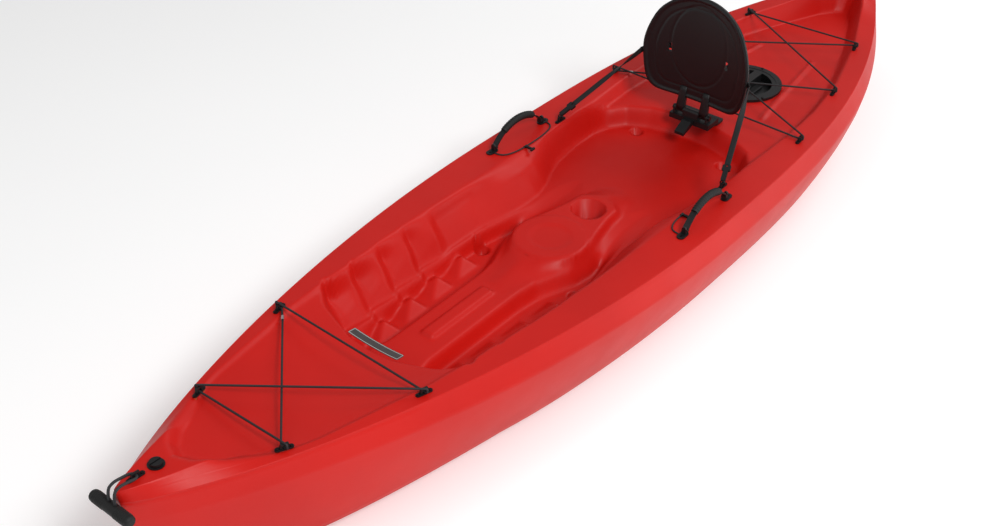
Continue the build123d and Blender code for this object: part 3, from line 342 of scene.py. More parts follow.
FOOTWELL = [(0.806, 0.072), (0.808, 0.122), (0.79, 0.130)] + [(x, y - 0.013) for x, y in brace_foot] + [
    (0.39, 0.174), (0.275, 0.170), (0.191, 0.157), (0.12, 0.149), (0.05, 0.148), (0.0, 0.146), (-0.06, 0.132),
    (-0.075, 0.105), (-0.02, 0.071), (0.06, 0.072), (0.12, 0.088), (0.16, 0.104), (0.215, 0.110), (0.27, 0.102),
    (0.31, 0.086), (0.36, 0.068), (0.42, 0.060), (0.74, 0.060)]
FOOT_FLOOR = [(0.785, 0.086), (0.785, 0.112), (0.70, 0.132), (0.6, 0.149), (0.5, 0.157), (0.39, 0.161),
              (0.28, 0.160), (0.235, 0.152), (0.2, 0.142), (0.178, 0.134), (0.172, 0.129), (0.178, 0.125),
              (0.19, 0.1265), (0.215, 0.131), (0.27, 0.124), (0.33, 0.103), (0.38, 0.086),
              (0.45, 0.078), (0.74, 0.076)]
deck_z = sink(deck_z, deck_x, deck_y, [(FOOTWELL, 0), (FOOT_FLOOR, FOOT_FLOOR_Z)], mirrored=True)
for n in range(4):
    along, wall_y = deck_x - 0.384 - 0.104 * n, 0.150 - 0.0085 * n
    flat = np.maximum(np.where(along > 0, along / 0.058, -along / 0.022), np.abs(across - wall_y) / 0.036)
    deck_z = np.where(flat < 1, np.maximum(deck_z, FOOT_FLOOR_Z + 0.027 * (1 - flat)), deck_z)

CONSOLE_FOOT = both_sides([(0.47, 0), (0.455, 0.040), (0.36, 0.064), (0.29, 0.091), (0.25, 0.105), (0.215, 0.109),
                           (0.17, 0.104), (0.12, 0.088), (0.05, 0.073), (-0.012, 0.070), (-0.075, 0.062),
                           (-0.105, 0.035), (-0.112, 0)])
CONSOLE_TOP = both_sides([(0.313, 0), (0.304, 0.042), (0.275, 0.076), (0.245, 0.092), (0.215, 0.097),
                          (0.175, 0.092), (0.12, 0.075), (0.05, 0.061), (0.008, 0.056), (-0.004, 0.03),
                          (-0.008, 0)])
deck_z = sink(deck_z, deck_x, deck_y, [(CONSOLE_FOOT, 0), (CONSOLE_TOP, CONSOLE_Z)], soft=True, rising=True)

pad = np.hypot(deck_x - 0.215, deck_y)
deck_z = deck_z + 0.0030 * ease((0.0975 - pad) / 0.005) - 0.0026 * ease((0.056 - pad) / 0.006)
bar = ease((0.0195 - across) / 0.003) * ease((deck_x - 0.458) / 0.006) * ease((0.688 - deck_x) / 0.006)
deck_z = deck_z + 0.009 * bar

# soften every moulded corner
soft = deck_z.copy()
soft[1:-1] = (deck_z[:-2] + 2 * deck_z[1:-1] + deck_z[2:]) / 4
deck_z = soft.copy()
soft[:, 1:-1] = (deck_z[:, :-2] + 2 * deck_z[:, 1:-1] + deck_z[:, 2:]) / 4
keep = np.clip((full - across - 0.004) / 0.01, 0, 1)
deck_z = deck_z + (soft - deck_z) * keep

# round holes, after the softening: cup, bow drain, hatch throat and the four drain dimples
cup = np.hypot(deck_x - CUP[0], deck_y - CUP[1])
deck_z = np.where(cup < 0.0462, np.interp(cup, [0.0, 0.029, 0.033, 0.0405, 0.0455, 0.0462],
                                          [0.128, 0.128, 0.134, 0.134, 0.1895, 0.1905]), deck_z)
bore = np.hypot(deck_x - DRAIN[0], deck_y - DRAIN[1])
deck_z = deck_z - np.interp(bore, [0.0107, 0.0117], [0.060, 0.0])
throat = np.hypot(deck_x - HATCH[0], deck_y - HATCH[1])
deck_z = np.where(throat < 0.1055, np.interp(throat, [0.0, 0.0995, 0.1055], [0.012, 0.012, 0.2255]), deck_z)
for drain, floor in ((SEAT_DRAINS, SEAT_FLOOR), (FOOT_DRAINS, FOOT_FLOOR_Z)):
    for side in (1, -1):
        away = np.hypot(deck_x - drain[0], deck_y - side * drain[1])
        deck_z = np.where(away < 0.0198, np.interp(away, [0, 0.0145, 0.0195, 0.0198],
                                                   [floor - 0.034, floor - 0.030, floor - 0.002, floor]), deck_z)

# below the deck edge: seam, bright shoulder band, side, chine and flat bottom
slim = np.minimum(edge_at / 0.356 * 1.25, 1.0)
edge_z = deck_z[:, -1]
keel_z = keel(x_lines)
chine_z = keel_z + 0.042 * slim + 0.030 * ease((np.abs(x_lines) - 0.5) / 0.8) * slim
chine_z = np.minimum(chine_z, edge_z - 0.55 * (edge_z - keel_z))
drop = np.minimum(0.052, 0.4 * (edge_z - keel_z))
seam = 0.0016 * ease((x_lines - 0.93) / 0.05)
profile = [(edge_at + 0.0012 * slim, edge_z - 0.0012), (edge_at + 0.0020 * slim - seam, edge_z - 0.0040),
           (edge_at + 0.0030 * slim, edge_z - 0.0070 * drop / 0.052)]
for out, down in ((0.30, 0.30), (0.58, 0.58), (0.82, 0.80), (0.94, 0.92), (0.985, 1.0), (0.97, 1.09)):
    profile.append((edge_at + 0.024 * slim * out, edge_z - drop * down))
for share in (0.25, 0.5, 0.75, 0.92, 1.0):
    from_z = edge_z - drop * 1.09
    bulge = 0.004 * math.sin(math.pi * share) * slim
    profile.append((np.maximum(edge_at + 0.0233 * slim - (0.0233 + 0.030) * slim * share ** 1.15 + bulge, 0.004),
                    from_z + (chine_z - from_z) * share))
for share in (0.08, 0.2, 0.4, 0.7, 1.0):
    chine_y = np.maximum(edge_at - 0.030 * slim, 0.004)
    flat_y = np.maximum(0.55 * edge_at * slim, 0.002)
    profile.append((chine_y + (flat_y - chine_y) * share,
                    chine_z + (keel_z - chine_z) * (1 - (1 - share) ** 1.5)))
side_y = np.array([y for y, z in profile]).T
side_z = np.array([z for y, z in profile]).T
grid_y = np.concatenate([deck_y, side_y, -side_y[:, ::-1]], axis=1)
grid_z = np.concatenate([deck_z, side_z, side_z[:, ::-1]], axis=1)
grid_x = np.concatenate([deck_x, np.repeat(x_lines[:, None], 2 * side_y.shape[1], axis=1)], axis=1)


def plain_mesh(name, points, faces):
    mesh = bpy.data.meshes.new(name)
    mesh.from_pydata([tuple(point) for point in points], [], [tuple(face) for face in faces])
    mesh.update()
    made = bpy.data.objects.new(name, mesh)
    bpy.context.scene.collection.objects.link(made)
    return made


def finish_mesh(made, material, body, smooth=True):
    """Close doubles, turn the faces outwards, shade smoothly, then ride on a body."""
    work = bmesh.new()
    work.from_mesh(made.data)
    bmesh.ops.remove_doubles(work, verts=work.verts, dist=1e-6)
    bmesh.ops.recalc_face_normals(work, faces=work.faces)
    work.to_mesh(made.data)
    work.free()
    for face in made.data.polygons:
        face.use_smooth = smooth
    made.data.materials.clear()
    made.data.materials.append(material)
    if body:
        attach(made, body)
    return made


def skin(grid):
    """Quads of a grid of points that is closed round its second direction, with both ends capped."""
    n, m = grid.shape[:2]
    index = np.arange(n * m).reshape(n, m)
    beside = np.roll(index, -1, axis=1)
    quads = np.stack([index[:-1], index[1:], beside[1:], beside[:-1]], axis=-1).reshape(-1, 4)
    faces = [tuple(int(v) for v in quad) for quad in quads]
    faces.append(tuple(int(v) for v in index[0]))
    faces.append(tuple(int(v) for v in index[-1][::-1]))
    return faces


red_hull = red_hull_finish()
hull_grid = np.stack([grid_x, grid_y, grid_z], axis=-1)
hull = plain_mesh("moulded_hull", hull_grid.reshape(-1, 3), skin(hull_grid))
finish_mesh(hull, red_hull, "hull")
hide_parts("hull_shell")


# ---------------------------------------------------------------- foam block and blank badge
# A white foam plank stands under the console inside the hull. A thin moulded plate sits in the foredeck
# just ahead of the cockpit, with a raised edge and nothing on it.
def give(name, material):
    """A better material for a CAD piece whose shape is right."""
    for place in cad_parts[name].material_slots:
        place.material = material


def foam_finish():
    finish = Finish("white_foam", 0.85, 0.2)
    cells = finish.noise(480.0, 3.0, 0.7)
    finish.feed("Base Color", finish.mix(cells, (0.62, 0.62, 0.60), (0.82, 0.82, 0.80)))
    finish.bump(cells, 0.001, 0.8)
    return finish.material


def badge_finish(low, high):
    """Dark plate with a pale line just inside its edge."""
    finish = Finish("badge_plate", 0.4, 0.5)
    centre = (low + high) / 2
    half_x, half_y = (high.x - low.x) / 2, (high.y - low.y) / 2
    split = finish.node("ShaderNodeSeparateXYZ", None, {0: finish.place()})
    off_x = (split[0] - centre.x).maths("ABSOLUTE", 0.0)
    off_y = (split[1] - centre.y).maths("ABSOLUTE", 0.0)
    line = (off_x.above(half_x - 0.0032, 0.0008) + off_y.above(half_y - 0.0030, 0.0008))
    outside = off_x.above(half_x - 0.0014, 0.0006) + off_y.above(half_y - 0.0014, 0.0006)
    pale = line.above(0.5, 0.4) * (1 - outside.above(0.5, 0.4))
    worn = finish.noise(60.0, 3.0)
    panel = finish.mix(worn, (0.030, 0.026, 0.026), (0.060, 0.050, 0.050))
    finish.feed("Base Color", finish.mix(pale, panel, (0.42, 0.40, 0.39)))
    finish.feed("Roughness", 0.32 + worn * 0.2)
    finish.bump(pale, 0.0004, 0.6)
    return finish.material


give("flotation_foam", foam_finish())
give("badge_plate", badge_finish(*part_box("badge_plate")))


# ---------------------------------------------------------------- black moulded fittings
# Pad eyes, saddles, handle feet, hatch and drain parts are moulded in black nylon with a fine spark grain.
# Their screws are blackened steel, and brass inserts are moulded into the hull's wall.
def black_finish(name, tone, roughness, grain_size, depth):
    finish = Finish(name, roughness, 0.32)
    grain = finish.noise(grain_size, 3.0, 0.65)
    slow = finish.noise(11.0, 3.0)
    lifted = tuple(value * 1.6 + 0.002 for value in tone)
    finish.feed("Base Color", finish.mix(slow * 0.5 + grain * 0.5, tone, lifted))
    finish.feed("Roughness", (roughness - 0.08) + grain * 0.16)
    finish.bump(grain, depth, 0.6)
    return finish.material


def metal_finish(name, colour, roughness, stretch):
    finish = Finish(name, roughness, 0.5, metallic=1.0)
    turned = finish.node("ShaderNodeMapping", None, {"Vector": finish.place(), "Scale": stretch})[0]
    brushed = finish.noise(300.0, 2.0, 0.5, turned)
    darker = tuple(value * 0.72 for value in colour)
    finish.feed("Base Color", finish.mix(brushed, darker, colour))
    finish.feed("Roughness", (roughness - 0.06) + brushed * 0.14)
    finish.bump(brushed, 0.0001, 0.4)
    return finish.material


black_nylon = black_finish("black_nylon", (0.0045, 0.0045, 0.005), 0.42, 900.0, 0.0002)
black_rubber = black_finish("black_rubber", (0.006, 0.006, 0.006), 0.62, 1500.0, 0.00012)
stainless = metal_finish("stainless_steel", (0.62, 0.62, 0.63), 0.30, (1.0, 6.0, 1.0))
blackened = metal_finish("blackened_steel", (0.035, 0.035, 0.036), 0.38, (1.0, 5.0, 1.0))
brass = metal_finish("brass", (0.72, 0.50, 0.20), 0.35, (1.0, 1.0, 5.0))
for n in range(1, 5):
    give("front_pad_eye_" + str(n), black_nylon)
for n in range(1, 7):
    give("rear_pad_eye_" + str(n), black_nylon)
for name in ("starboard_strap_eye", "port_strap_eye", "bow_cord_anchor", "stern_cord_anchor"):
    give(name, black_nylon)
give("pad_eye_screws", blackened)
give("threaded_inserts", brass)


# ---------------------------------------------------------------- laced deck bungees
# Black braided shock cord, pulled tight through the pad eyes in crossing runs, its ends joined in a crimped
# steel sleeve. The braid is a fine herringbone of black polyester with a few duller strands.
def braid_finish(name, tone, strand):
    """Cord cover on its own UV map: u runs along in metres, v once round."""
    finish = Finish(name, 0.62, 0.35)
    uv = finish.node("ShaderNodeUVMap", {"uv_map": "along"})[0]
    split = finish.node("ShaderNodeSeparateXYZ", None, {0: uv})
    along, round_it = split[0] * (2 * math.pi / strand), split[1] * (2 * math.pi * 4)
    braid = (along + round_it).sine() * (along - round_it).sine()
    weave = 0.5 + 0.5 * braid
    fuzz = finish.noise(1800.0, 2.0)
    bright = tuple(value * 3.2 + 0.004 for value in tone)
    finish.feed("Base Color", finish.mix(weave * 0.6 + fuzz * 0.3, tone, bright))
    finish.feed("Roughness", 0.5 + weave * 0.2)
    finish.bump(weave * 0.8 + fuzz * 0.2, 0.0005, 0.9)
    return finish.material


black_braid = braid_finish("black_braid", (0.008, 0.008, 0.009), 0.0042)


def smooth_route(points):
    """The smooth line of a cord: a NURBS spline with these control points."""
    curve = bpy.data.curves.new("route", "CURVE")
    curve.dimensions = "3D"
    curve.resolution_u = 10
    spline = curve.splines.new("NURBS")
    spline.points.add(len(points) - 1)
    for point, where in zip(spline.points, points):
        point.co = (*where, 1.0)
    spline.order_u = 3
    spline.use_endpoint_u = True
    holder = bpy.data.objects.new("route", curve)
    bpy.context.scene.collection.objects.link(holder)
    depsgraph = bpy.context.evaluated_depsgraph_get()
    line = bpy.data.meshes.new_from_object(holder.evaluated_get(depsgraph))
    path = [vertex.co.copy() for vertex in line.vertices]
    bpy.data.objects.remove(holder)
    kept = [path[0]]
    for point in path[1:]:
        if (point - kept[-1]).length > 1e-4:
            kept.append(point)
    return kept


def cord_mesh(name, path, diameter, sides=12):
    """Round cord along a line, with a UV map in metres along it, and closed ends."""
    tangents = []
    for i, point in enumerate(path):
        after, before = path[min(i + 1, len(path) - 1)], path[max(i - 1, 0)]
        tangents.append((after - before).normalized())
    side = tangents[0].orthogonal().normalized()
    work = bmesh.new()
    uv_layer = work.loops.layers.uv.new("along")
    rings, lengths, run = [], [], 0.0
    for i, (point, tangent) in enumerate(zip(path, tangents)):
        if i:
            side = (side - tangent * side.dot(tangent)).normalized()
            run += (point - path[i - 1]).length
        up = tangent.cross(side)
        ring = []
        for k in range(sides):
            angle = 2 * math.pi * k / sides
            out = side * math.cos(angle) + up * math.sin(angle)
            ring.append(work.verts.new(point + out * (diameter / 2)))
        rings.append(ring)
        lengths.append(run)
    for i in range(len(rings) - 1):
        for k in range(sides):
            nxt = (k + 1) % sides
            face = work.faces.new((rings[i][k], rings[i][nxt], rings[i + 1][nxt], rings[i + 1][k]))
            for loop, (u, v) in zip(face.loops, ((lengths[i], k), (lengths[i], k + 1), (lengths[i + 1], k + 1),
                                                 (lengths[i + 1], k))):
                loop[uv_layer].uv = (u, v / sides)
            face.smooth = True
    work.faces.new(rings[0][::-1])
    work.faces.new(rings[-1])
    mesh = bpy.data.meshes.new(name)
    work.to_mesh(mesh)
    work.free()
    made = bpy.data.objects.new(name, mesh)
    bpy.context.scene.collection.objects.link(made)
    return made


def eye_place(name):
    """Middle of a pad eye's foot on the deck."""
    low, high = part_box(name)
    return Vector(((low.x + high.x) / 2, (low.y + high.y) / 2, low.z))


EYE_RISE = 0.0066          # middle of the eye's hole above its foot
BAR_RISE = 0.0181          # a cord that lies on the eye's bar


def lace(name, eyes, over_first, material):
    """Bungee through each eye and back over its bar, or the other way, with its ends met in the crimp."""
    corners = []
    for eye, over in zip(eyes, over_first):
        foot = eye_place(eye)
        out = Vector((0, 1 if foot.y > 0 else -1, 0))
        turn = [foot - out * 0.009 + Vector((0, 0, EYE_RISE)), foot + out * 0.009 + Vector((0, 0, EYE_RISE)),
                foot + out * 0.009 + Vector((0, 0, BAR_RISE))]
        corners += turn[::-1] if over else turn
    crimp_low, crimp_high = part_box(name + "_crimp")
    joint = (crimp_low + crimp_high) / 2
    loop = [joint] + corners + [joint]
    points = [loop[0]]
    for before, corner, after in zip(loop, loop[1:], loop[2:]):
        for far in (before, after):
            run = far - corner
            reach = min(0.0055, run.length * 0.45)
            points.append(corner + run.normalized() * reach)
            if far is before:
                points.append(corner)
    points.append(loop[-1])
    made = cord_mesh(name + "_braid", smooth_route([tuple(point) for point in points]), 0.005)
    finish_mesh(made, material, "hull")
    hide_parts(name)


lace("front_bungee", ["front_pad_eye_" + str(n) for n in (1, 2, 3, 4)],
     (False, False, True, True), black_braid)
lace("rear_bungee", ["rear_pad_eye_" + str(n) for n in (1, 2, 3, 6, 5, 4)],
     (False, False, True, False, False, True), black_braid)
give("front_bungee_crimp", stainless)
give("rear_bungee_crimp", stainless)


# ---------------------------------------------------------------- bow and stern pull handles
# A ribbed rubber toggle on a loop of braided cord at each end of the boat. The cord comes up through both
# holes of the toggle, over the stem, and through the hole of its saddle.
def row_tree(name, kind):
    """Node tree that sets rings, or short stitches, at even steps along a line of edges."""
    tree = bpy.data.node_groups.new(name, "GeometryNodeTree")
    tree.interface.new_socket("Line", in_out="INPUT", socket_type="NodeSocketGeometry")
    for word, socket in (("Count", "NodeSocketInt"), ("Radius", "NodeSocketFloat"),
                         ("Thickness", "NodeSocketFloat"), ("Material", "NodeSocketMaterial")):
        tree.interface.new_socket(word, in_out="INPUT", socket_type=socket)
    tree.interface.new_socket("Row", in_out="OUTPUT", socket_type="NodeSocketGeometry")
    source = tree.nodes.new("NodeGroupInput").outputs
    link = tree.links.new
    curve = tree.nodes.new("GeometryNodeMeshToCurve")
    link(source["Line"], curve.inputs["Mesh"])
    steps = tree.nodes.new("GeometryNodeCurveToPoints")
    steps.mode = "COUNT"
    link(curve.outputs["Curve"], steps.inputs["Curve"])
    link(source["Count"], steps.inputs["Count"])
    if kind == "ring":
        hoop = tree.nodes.new("GeometryNodeCurvePrimitiveCircle")
        hoop.inputs["Resolution"].default_value = 32
        link(source["Radius"], hoop.inputs["Radius"])
        section = tree.nodes.new("GeometryNodeCurvePrimitiveCircle")
        section.inputs["Resolution"].default_value = 8
        link(source["Thickness"], section.inputs["Radius"])
        shape = tree.nodes.new("GeometryNodeCurveToMesh")
        link(hoop.outputs["Curve"], shape.inputs["Curve"])
        link(section.outputs["Curve"], shape.inputs["Profile Curve"])
    else:
        shape = tree.nodes.new("GeometryNodeMeshCylinder")
        shape.inputs["Vertices"].default_value = 8
        link(source["Thickness"], shape.inputs["Radius"])
        link(source["Radius"], shape.inputs["Depth"])
    copies = tree.nodes.new("GeometryNodeInstanceOnPoints")
    link(steps.outputs["Points"], copies.inputs["Points"])
    link(steps.outputs["Rotation"], copies.inputs["Rotation"])
    link(shape.outputs["Mesh"], copies.inputs["Instance"])
    real = tree.nodes.new("GeometryNodeRealizeInstances")
    link(copies.outputs["Instances"], real.inputs["Geometry"])
    coated = tree.nodes.new("GeometryNodeSetMaterial")
    link(real.outputs["Geometry"], coated.inputs["Geometry"])
    link(source["Material"], coated.inputs["Material"])
    link(coated.outputs["Geometry"], tree.nodes.new("NodeGroupOutput").inputs["Row"])
    return tree


ring_row = row_tree("ring_row", "ring")
stitch_row = row_tree("stitch_row", "stitch")


def add_row(name, tree, lines, material, body, slot, **sizes):
    """Run a row tree along each line of points and keep the result as one plain mesh on a body."""
    points, edges = [], []
    for line in lines:
        edges += [(len(points) + i, len(points) + i + 1) for i in range(len(line) - 1)]
        points += [tuple(point) for point in line]
    guide = bpy.data.meshes.new(name + "_guide")
    guide.from_pydata(points, edges, [])
    carrier = bpy.data.objects.new(name + "_guide", guide)
    bpy.context.scene.collection.objects.link(carrier)
    grower = carrier.modifiers.new("row", "NODES")
    grower.node_group = tree
    sizes["Material"] = material
    for item in tree.interface.items_tree:
        if item.in_out == "INPUT" and item.name in sizes:
            grower[item.identifier] = sizes[item.name]
    bpy.context.view_layer.update()
    grown = carrier.evaluated_get(bpy.context.evaluated_depsgraph_get())
    mesh = bpy.data.meshes.new_from_object(grown)
    bpy.data.objects.remove(carrier)
    made = bpy.data.objects.new(name, mesh)
    bpy.context.scene.collection.objects.link(made)
    return finish_mesh(made, material, body)


TOGGLE_RADIUS = 0.0125
BOW_LOOP = [(1.541, -0.009, 0.322), (1.540, -0.009, 0.350), (1.526, -0.009, 0.359), (1.506, -0.009, 0.356),
            (1.488, -0.010, 0.3515), (1.482, -0.004, 0.3501), (1.482, 0.004, 0.3501), (1.488, 0.010, 0.3515),
            (1.506, 0.009, 0.356), (1.526, 0.009, 0.359), (1.540, 0.009, 0.350), (1.541, 0.009, 0.322)]
stern_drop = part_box("bow_toggle_cord")[1].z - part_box("stern_toggle_cord")[1].z
STERN_LOOP = [(-x, y, z - stern_drop) for x, y, z in BOW_LOOP]
toggle_braid = braid_finish("toggle_braid", (0.010, 0.010, 0.011), 0.005)
for word, loop_points in (("bow", BOW_LOOP), ("stern", STERN_LOOP)):
    path = smooth_route(loop_points)
    pull_cord = cord_mesh(word + "_pull_braid", path, 0.006)
    finish_mesh(pull_cord, toggle_braid, word + "_pull")
    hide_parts(word + "_toggle_cord")
    length = sum((b - a).length for a, b in zip(path, path[1:]))
    give(word + "_toggle", black_rubber)
    low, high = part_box(word + "_toggle")
    middle = (low + high) / 2
    ends = [[middle + Vector((0, side * out, 0)) for out in (0.018, 0.046)] for side in (-1, 1)]
    add_row(word + "_toggle_ribs", ring_row, ends, black_rubber, word + "_pull", "black_rubber",
            Count=7, Radius=TOGGLE_RADIUS, Thickness=0.0008)


# ---------------------------------------------------------------- side carry handles and paddle keepers
# Moulded black straps that arch between two pivot feet, with a ribbed rubber grip. A thin shock cord with a
# small T hook runs between the feet and holds a paddle's shaft.
GRIP_ARC = 0.1235          # radius of the handle's arch
black_strap = black_finish("black_handle_strap", (0.005, 0.005, 0.0055), 0.45, 1100.0, 0.0002)
for word in ("port", "starboard"):
    give(word + "_handle_strap", black_strap)
    give(word + "_handle_grip", black_rubber)
    give(word + "_handle_feet", black_nylon)
    give(word + "_keeper_hook", black_nylon)
    side = 1 if word == "port" else -1
    grip_line = []
    for along in np.linspace(-0.052, 0.052, 25):
        rise = 0.048 - GRIP_ARC + math.sqrt(GRIP_ARC ** 2 - along ** 2)
        grip_line.append((-0.0266 + along, side * (0.2995 + 0.0265 * along), 0.2679 + 0.0069 * along + rise))
    add_row(word + "_grip_ribs", ring_row, [grip_line], black_rubber, word + "_handle", "black_rubber",
            Count=15, Radius=0.0093, Thickness=0.0009)
give("handle_screws", blackened)
STARBOARD_KEEPER = [(-0.136, -0.2867, 0.2585), (-0.135, -0.274, 0.2585), (-0.124, -0.262, 0.2585),
                    (-0.104, -0.2545, 0.2585), (-0.074, -0.2505, 0.2585), (-0.038, -0.249, 0.2585),
                    (0.0, -0.2495, 0.2586), (0.034, -0.252, 0.259), (0.060, -0.258, 0.2594),
                    (0.076, -0.268, 0.2597), (0.0815, -0.282, 0.2598), (0.082, -0.2917, 0.2598)]
PORT_KEEPER = [(0.082, 0.2917, 0.2598), (0.0815, 0.281, 0.2598), (0.076, 0.269, 0.2597), (0.062, 0.260, 0.2594),
               (0.042, 0.255, 0.2591), (0.022, 0.253, 0.2588), (0.006, 0.2525, 0.2587)]
keeper_braid = braid_finish("keeper_braid", (0.009, 0.009, 0.010), 0.0034)
for word, keeper_points, far_end in (("starboard", STARBOARD_KEEPER, "object"),
                                     ("port", PORT_KEEPER, "fitting")):
    path = smooth_route(keeper_points)
    keeper = cord_mesh(word + "_keeper_braid", path, 0.004)
    finish_mesh(keeper, keeper_braid, "hull")
    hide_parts(word + "_keeper_cord")
    length = sum((b - a).length for a, b in zip(path, path[1:]))


# ---------------------------------------------------------------- stern hatch and drain
# A round black hatch: screwed ring, rubber seal, and a dished lid that turns to lock by its bar. At the bow a
# threaded plug in a flanged bushing lets the hull drain.
for name in ("hatch_ring", "hatch_lid", "drain_bushing", "drain_plug"):
    give(name, black_nylon)
give("hatch_seal", black_rubber)
give("drain_seal", black_rubber)
give("hatch_screws", blackened)


# ---------------------------------------------------------------- seat back
# One moulded shield of black polypropylene with a rolled rim and pressed contour lines, cut with two slots for
# its straps. Two legs hinge on a steel pin in a cross-shaped bracket behind the seat.
BACK_RADIUS = 0.620
BACK_X = -0.440
SHELL = 0.007
PIN_X, PIN_Z = -0.434, 0.262
LEG_Y = 0.037
SLOT_Y, SLOT_Z = 0.090, 0.437
OUTLINE = [(0.0, 0.603), (0.045, 0.598), (0.088, 0.580), (0.126, 0.548), (0.150, 0.500), (0.164, 0.452),
           (0.165, 0.415), (0.158, 0.356), (0.147, 0.322), (0.128, 0.305), (0.104, 0.300), (0.060, 0.2995),
           (0.0, 0.2995)]


def shield_edge(count):
    """Evenly spaced points round the shield's rim, as (y, z)."""
    half = np.array(OUTLINE)
    closed = np.concatenate([half, np.column_stack([-half[-2:0:-1, 0], half[-2:0:-1, 1]])])
    for turn in range(3):
        nxt = np.roll(closed, -1, axis=0)
        cut = np.empty((2 * len(closed), 2))
        cut[0::2] = closed * 0.75 + nxt * 0.25
        cut[1::2] = closed * 0.25 + nxt * 0.75
        closed = cut
    steps = np.hypot(*(np.roll(closed, -1, axis=0) - closed).T)
    along = np.concatenate([[0], np.cumsum(steps)])
    closed = np.vstack([closed, closed[:1]])
    places = np.linspace(0, along[-1], count, endpoint=False)
    return np.column_stack([np.interp(places, along, closed[:, 0]), np.interp(places, along, closed[:, 1])])


rim = shield_edge(200)
heart = np.array([0.0, 0.450])
shares = np.concatenate([np.linspace(0.02, 0.95, 56), [0.965, 0.98, 0.992, 1.0]])
front, back = [], []
for share in shares:
    ring = heart + (rim - heart) * share
    y, z = ring[:, 0], ring[:, 1]
    hollow_x = BACK_X + BACK_RADIUS - np.sqrt(BACK_RADIUS ** 2 - y ** 2)
    back_x = BACK_X + BACK_RADIUS - np.sqrt((BACK_RADIUS + SHELL) ** 2 - y ** 2)
    oval = np.hypot(y / 0.088, (z - 0.462) / 0.118)
    press = -0.0016 * np.exp(-((oval - 1) / 0.030) ** 2) - 0.0016 * np.exp(-((share - 0.80) / 0.016) ** 2)
    press = press + 0.0040 * ease((share - 0.93) / 0.03) * (share < 0.995)
    front.append(np.column_stack([hollow_x + press, y, z]))
    back.append(np.column_stack([back_x - press * 0.5, y, z]))
roll = 0.0016
out = rim + (rim - heart) / np.linalg.norm(rim - heart, axis=1)[:, None] * roll
middle_x = (front[-1][:, 0] + back[-1][:, 0]) / 2
bead = [np.column_stack([middle_x + 0.0045, out[:, 0], out[:, 1]]),
        np.column_stack([middle_x, out[:, 0], out[:, 1]]),
        np.column_stack([middle_x - 0.0040, out[:, 0], out[:, 1]])]
shield_grid = np.array(front + bead + back[::-1])
shield = plain_mesh("seat_back_shield", shield_grid.reshape(-1, 3), skin(shield_grid))


def block(name, low, high):
    """A plain box, for cutting with."""
    corners = [(x, y, z) for x in (low[0], high[0]) for y in (low[1], high[1]) for z in (low[2], high[2])]
    sides = [(0, 1, 3, 2), (4, 6, 7, 5), (0, 4, 5, 1), (2, 3, 7, 6), (0, 2, 6, 4), (1, 5, 7, 3)]
    return plain_mesh(name, corners, sides)


def cut_out(piece, tools):
    """Boolean each tool out of the piece for good."""
    for tool in tools:
        modifier = piece.modifiers.new("cut", "BOOLEAN")
        modifier.operation = "DIFFERENCE"
        modifier.solver = "EXACT"
        modifier.object = tool
    depsgraph = bpy.context.evaluated_depsgraph_get()
    cut = bpy.data.meshes.new_from_object(piece.evaluated_get(depsgraph))
    piece.modifiers.clear()
    piece.data = cut
    for tool in tools:
        bpy.data.objects.remove(tool)


finish_mesh(shield, black_nylon, None)
slots = [block("slot_cut", (-0.50, side * SLOT_Y - 0.005, SLOT_Z - 0.012),
               (-0.38, side * SLOT_Y + 0.005, SLOT_Z + 0.012))
         for side in (1, -1)]
cut_out(shield, slots)
for side in (1, -1):
    leg = []
    for z, fore, aft, wide in ((PIN_Z, 0.009, -0.009, 0.012), (0.276, 0.0075, -0.0095, 0.012),
                               (0.302, 0.002, -0.012, 0.0115), (0.318, -0.001, -0.012, 0.011),
                               (0.330, -0.004, -0.011, 0.010)):
        x, y = PIN_X, side * LEG_Y
        leg.append([(x + fore, y - wide + 0.002, z), (x + fore, y + wide - 0.002, z),
                    (x + fore - 0.002, y + wide, z), (x + aft + 0.002, y + wide, z),
                    (x + aft, y + wide - 0.002, z), (x + aft, y - wide + 0.002, z),
                    (x + aft + 0.002, y - wide, z), (x + fore - 0.002, y - wide, z)])
    made = plain_mesh("seat_back_leg_" + ("port" if side > 0 else "starboard"),
                      np.array(leg).reshape(-1, 3), skin(np.array(leg)))
    finish_mesh(made, black_nylon, "backrest")
    angles = np.linspace(0, 2 * math.pi, 24, endpoint=False)
    turns = [[(PIN_X + 0.009 * math.cos(a), side * LEG_Y + w, PIN_Z + 0.009 * math.sin(a)) for a in angles]
             for w in (-0.012, -0.0115, 0.0115, 0.012)]
    knuckle = plain_mesh("seat_back_knuckle_" + ("port" if side > 0 else "starboard"),
                         np.array(turns).reshape(-1, 3), skin(np.array(turns)))
    finish_mesh(knuckle, black_nylon, "backrest", smooth=False)
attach(shield, "backrest")
shield.data.materials.clear()
shield.data.materials.append(black_nylon)
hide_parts("backrest_shell")
give("backrest_pin", blackened)
give("backrest_bracket", black_nylon)
give("bracket_screws", blackened)


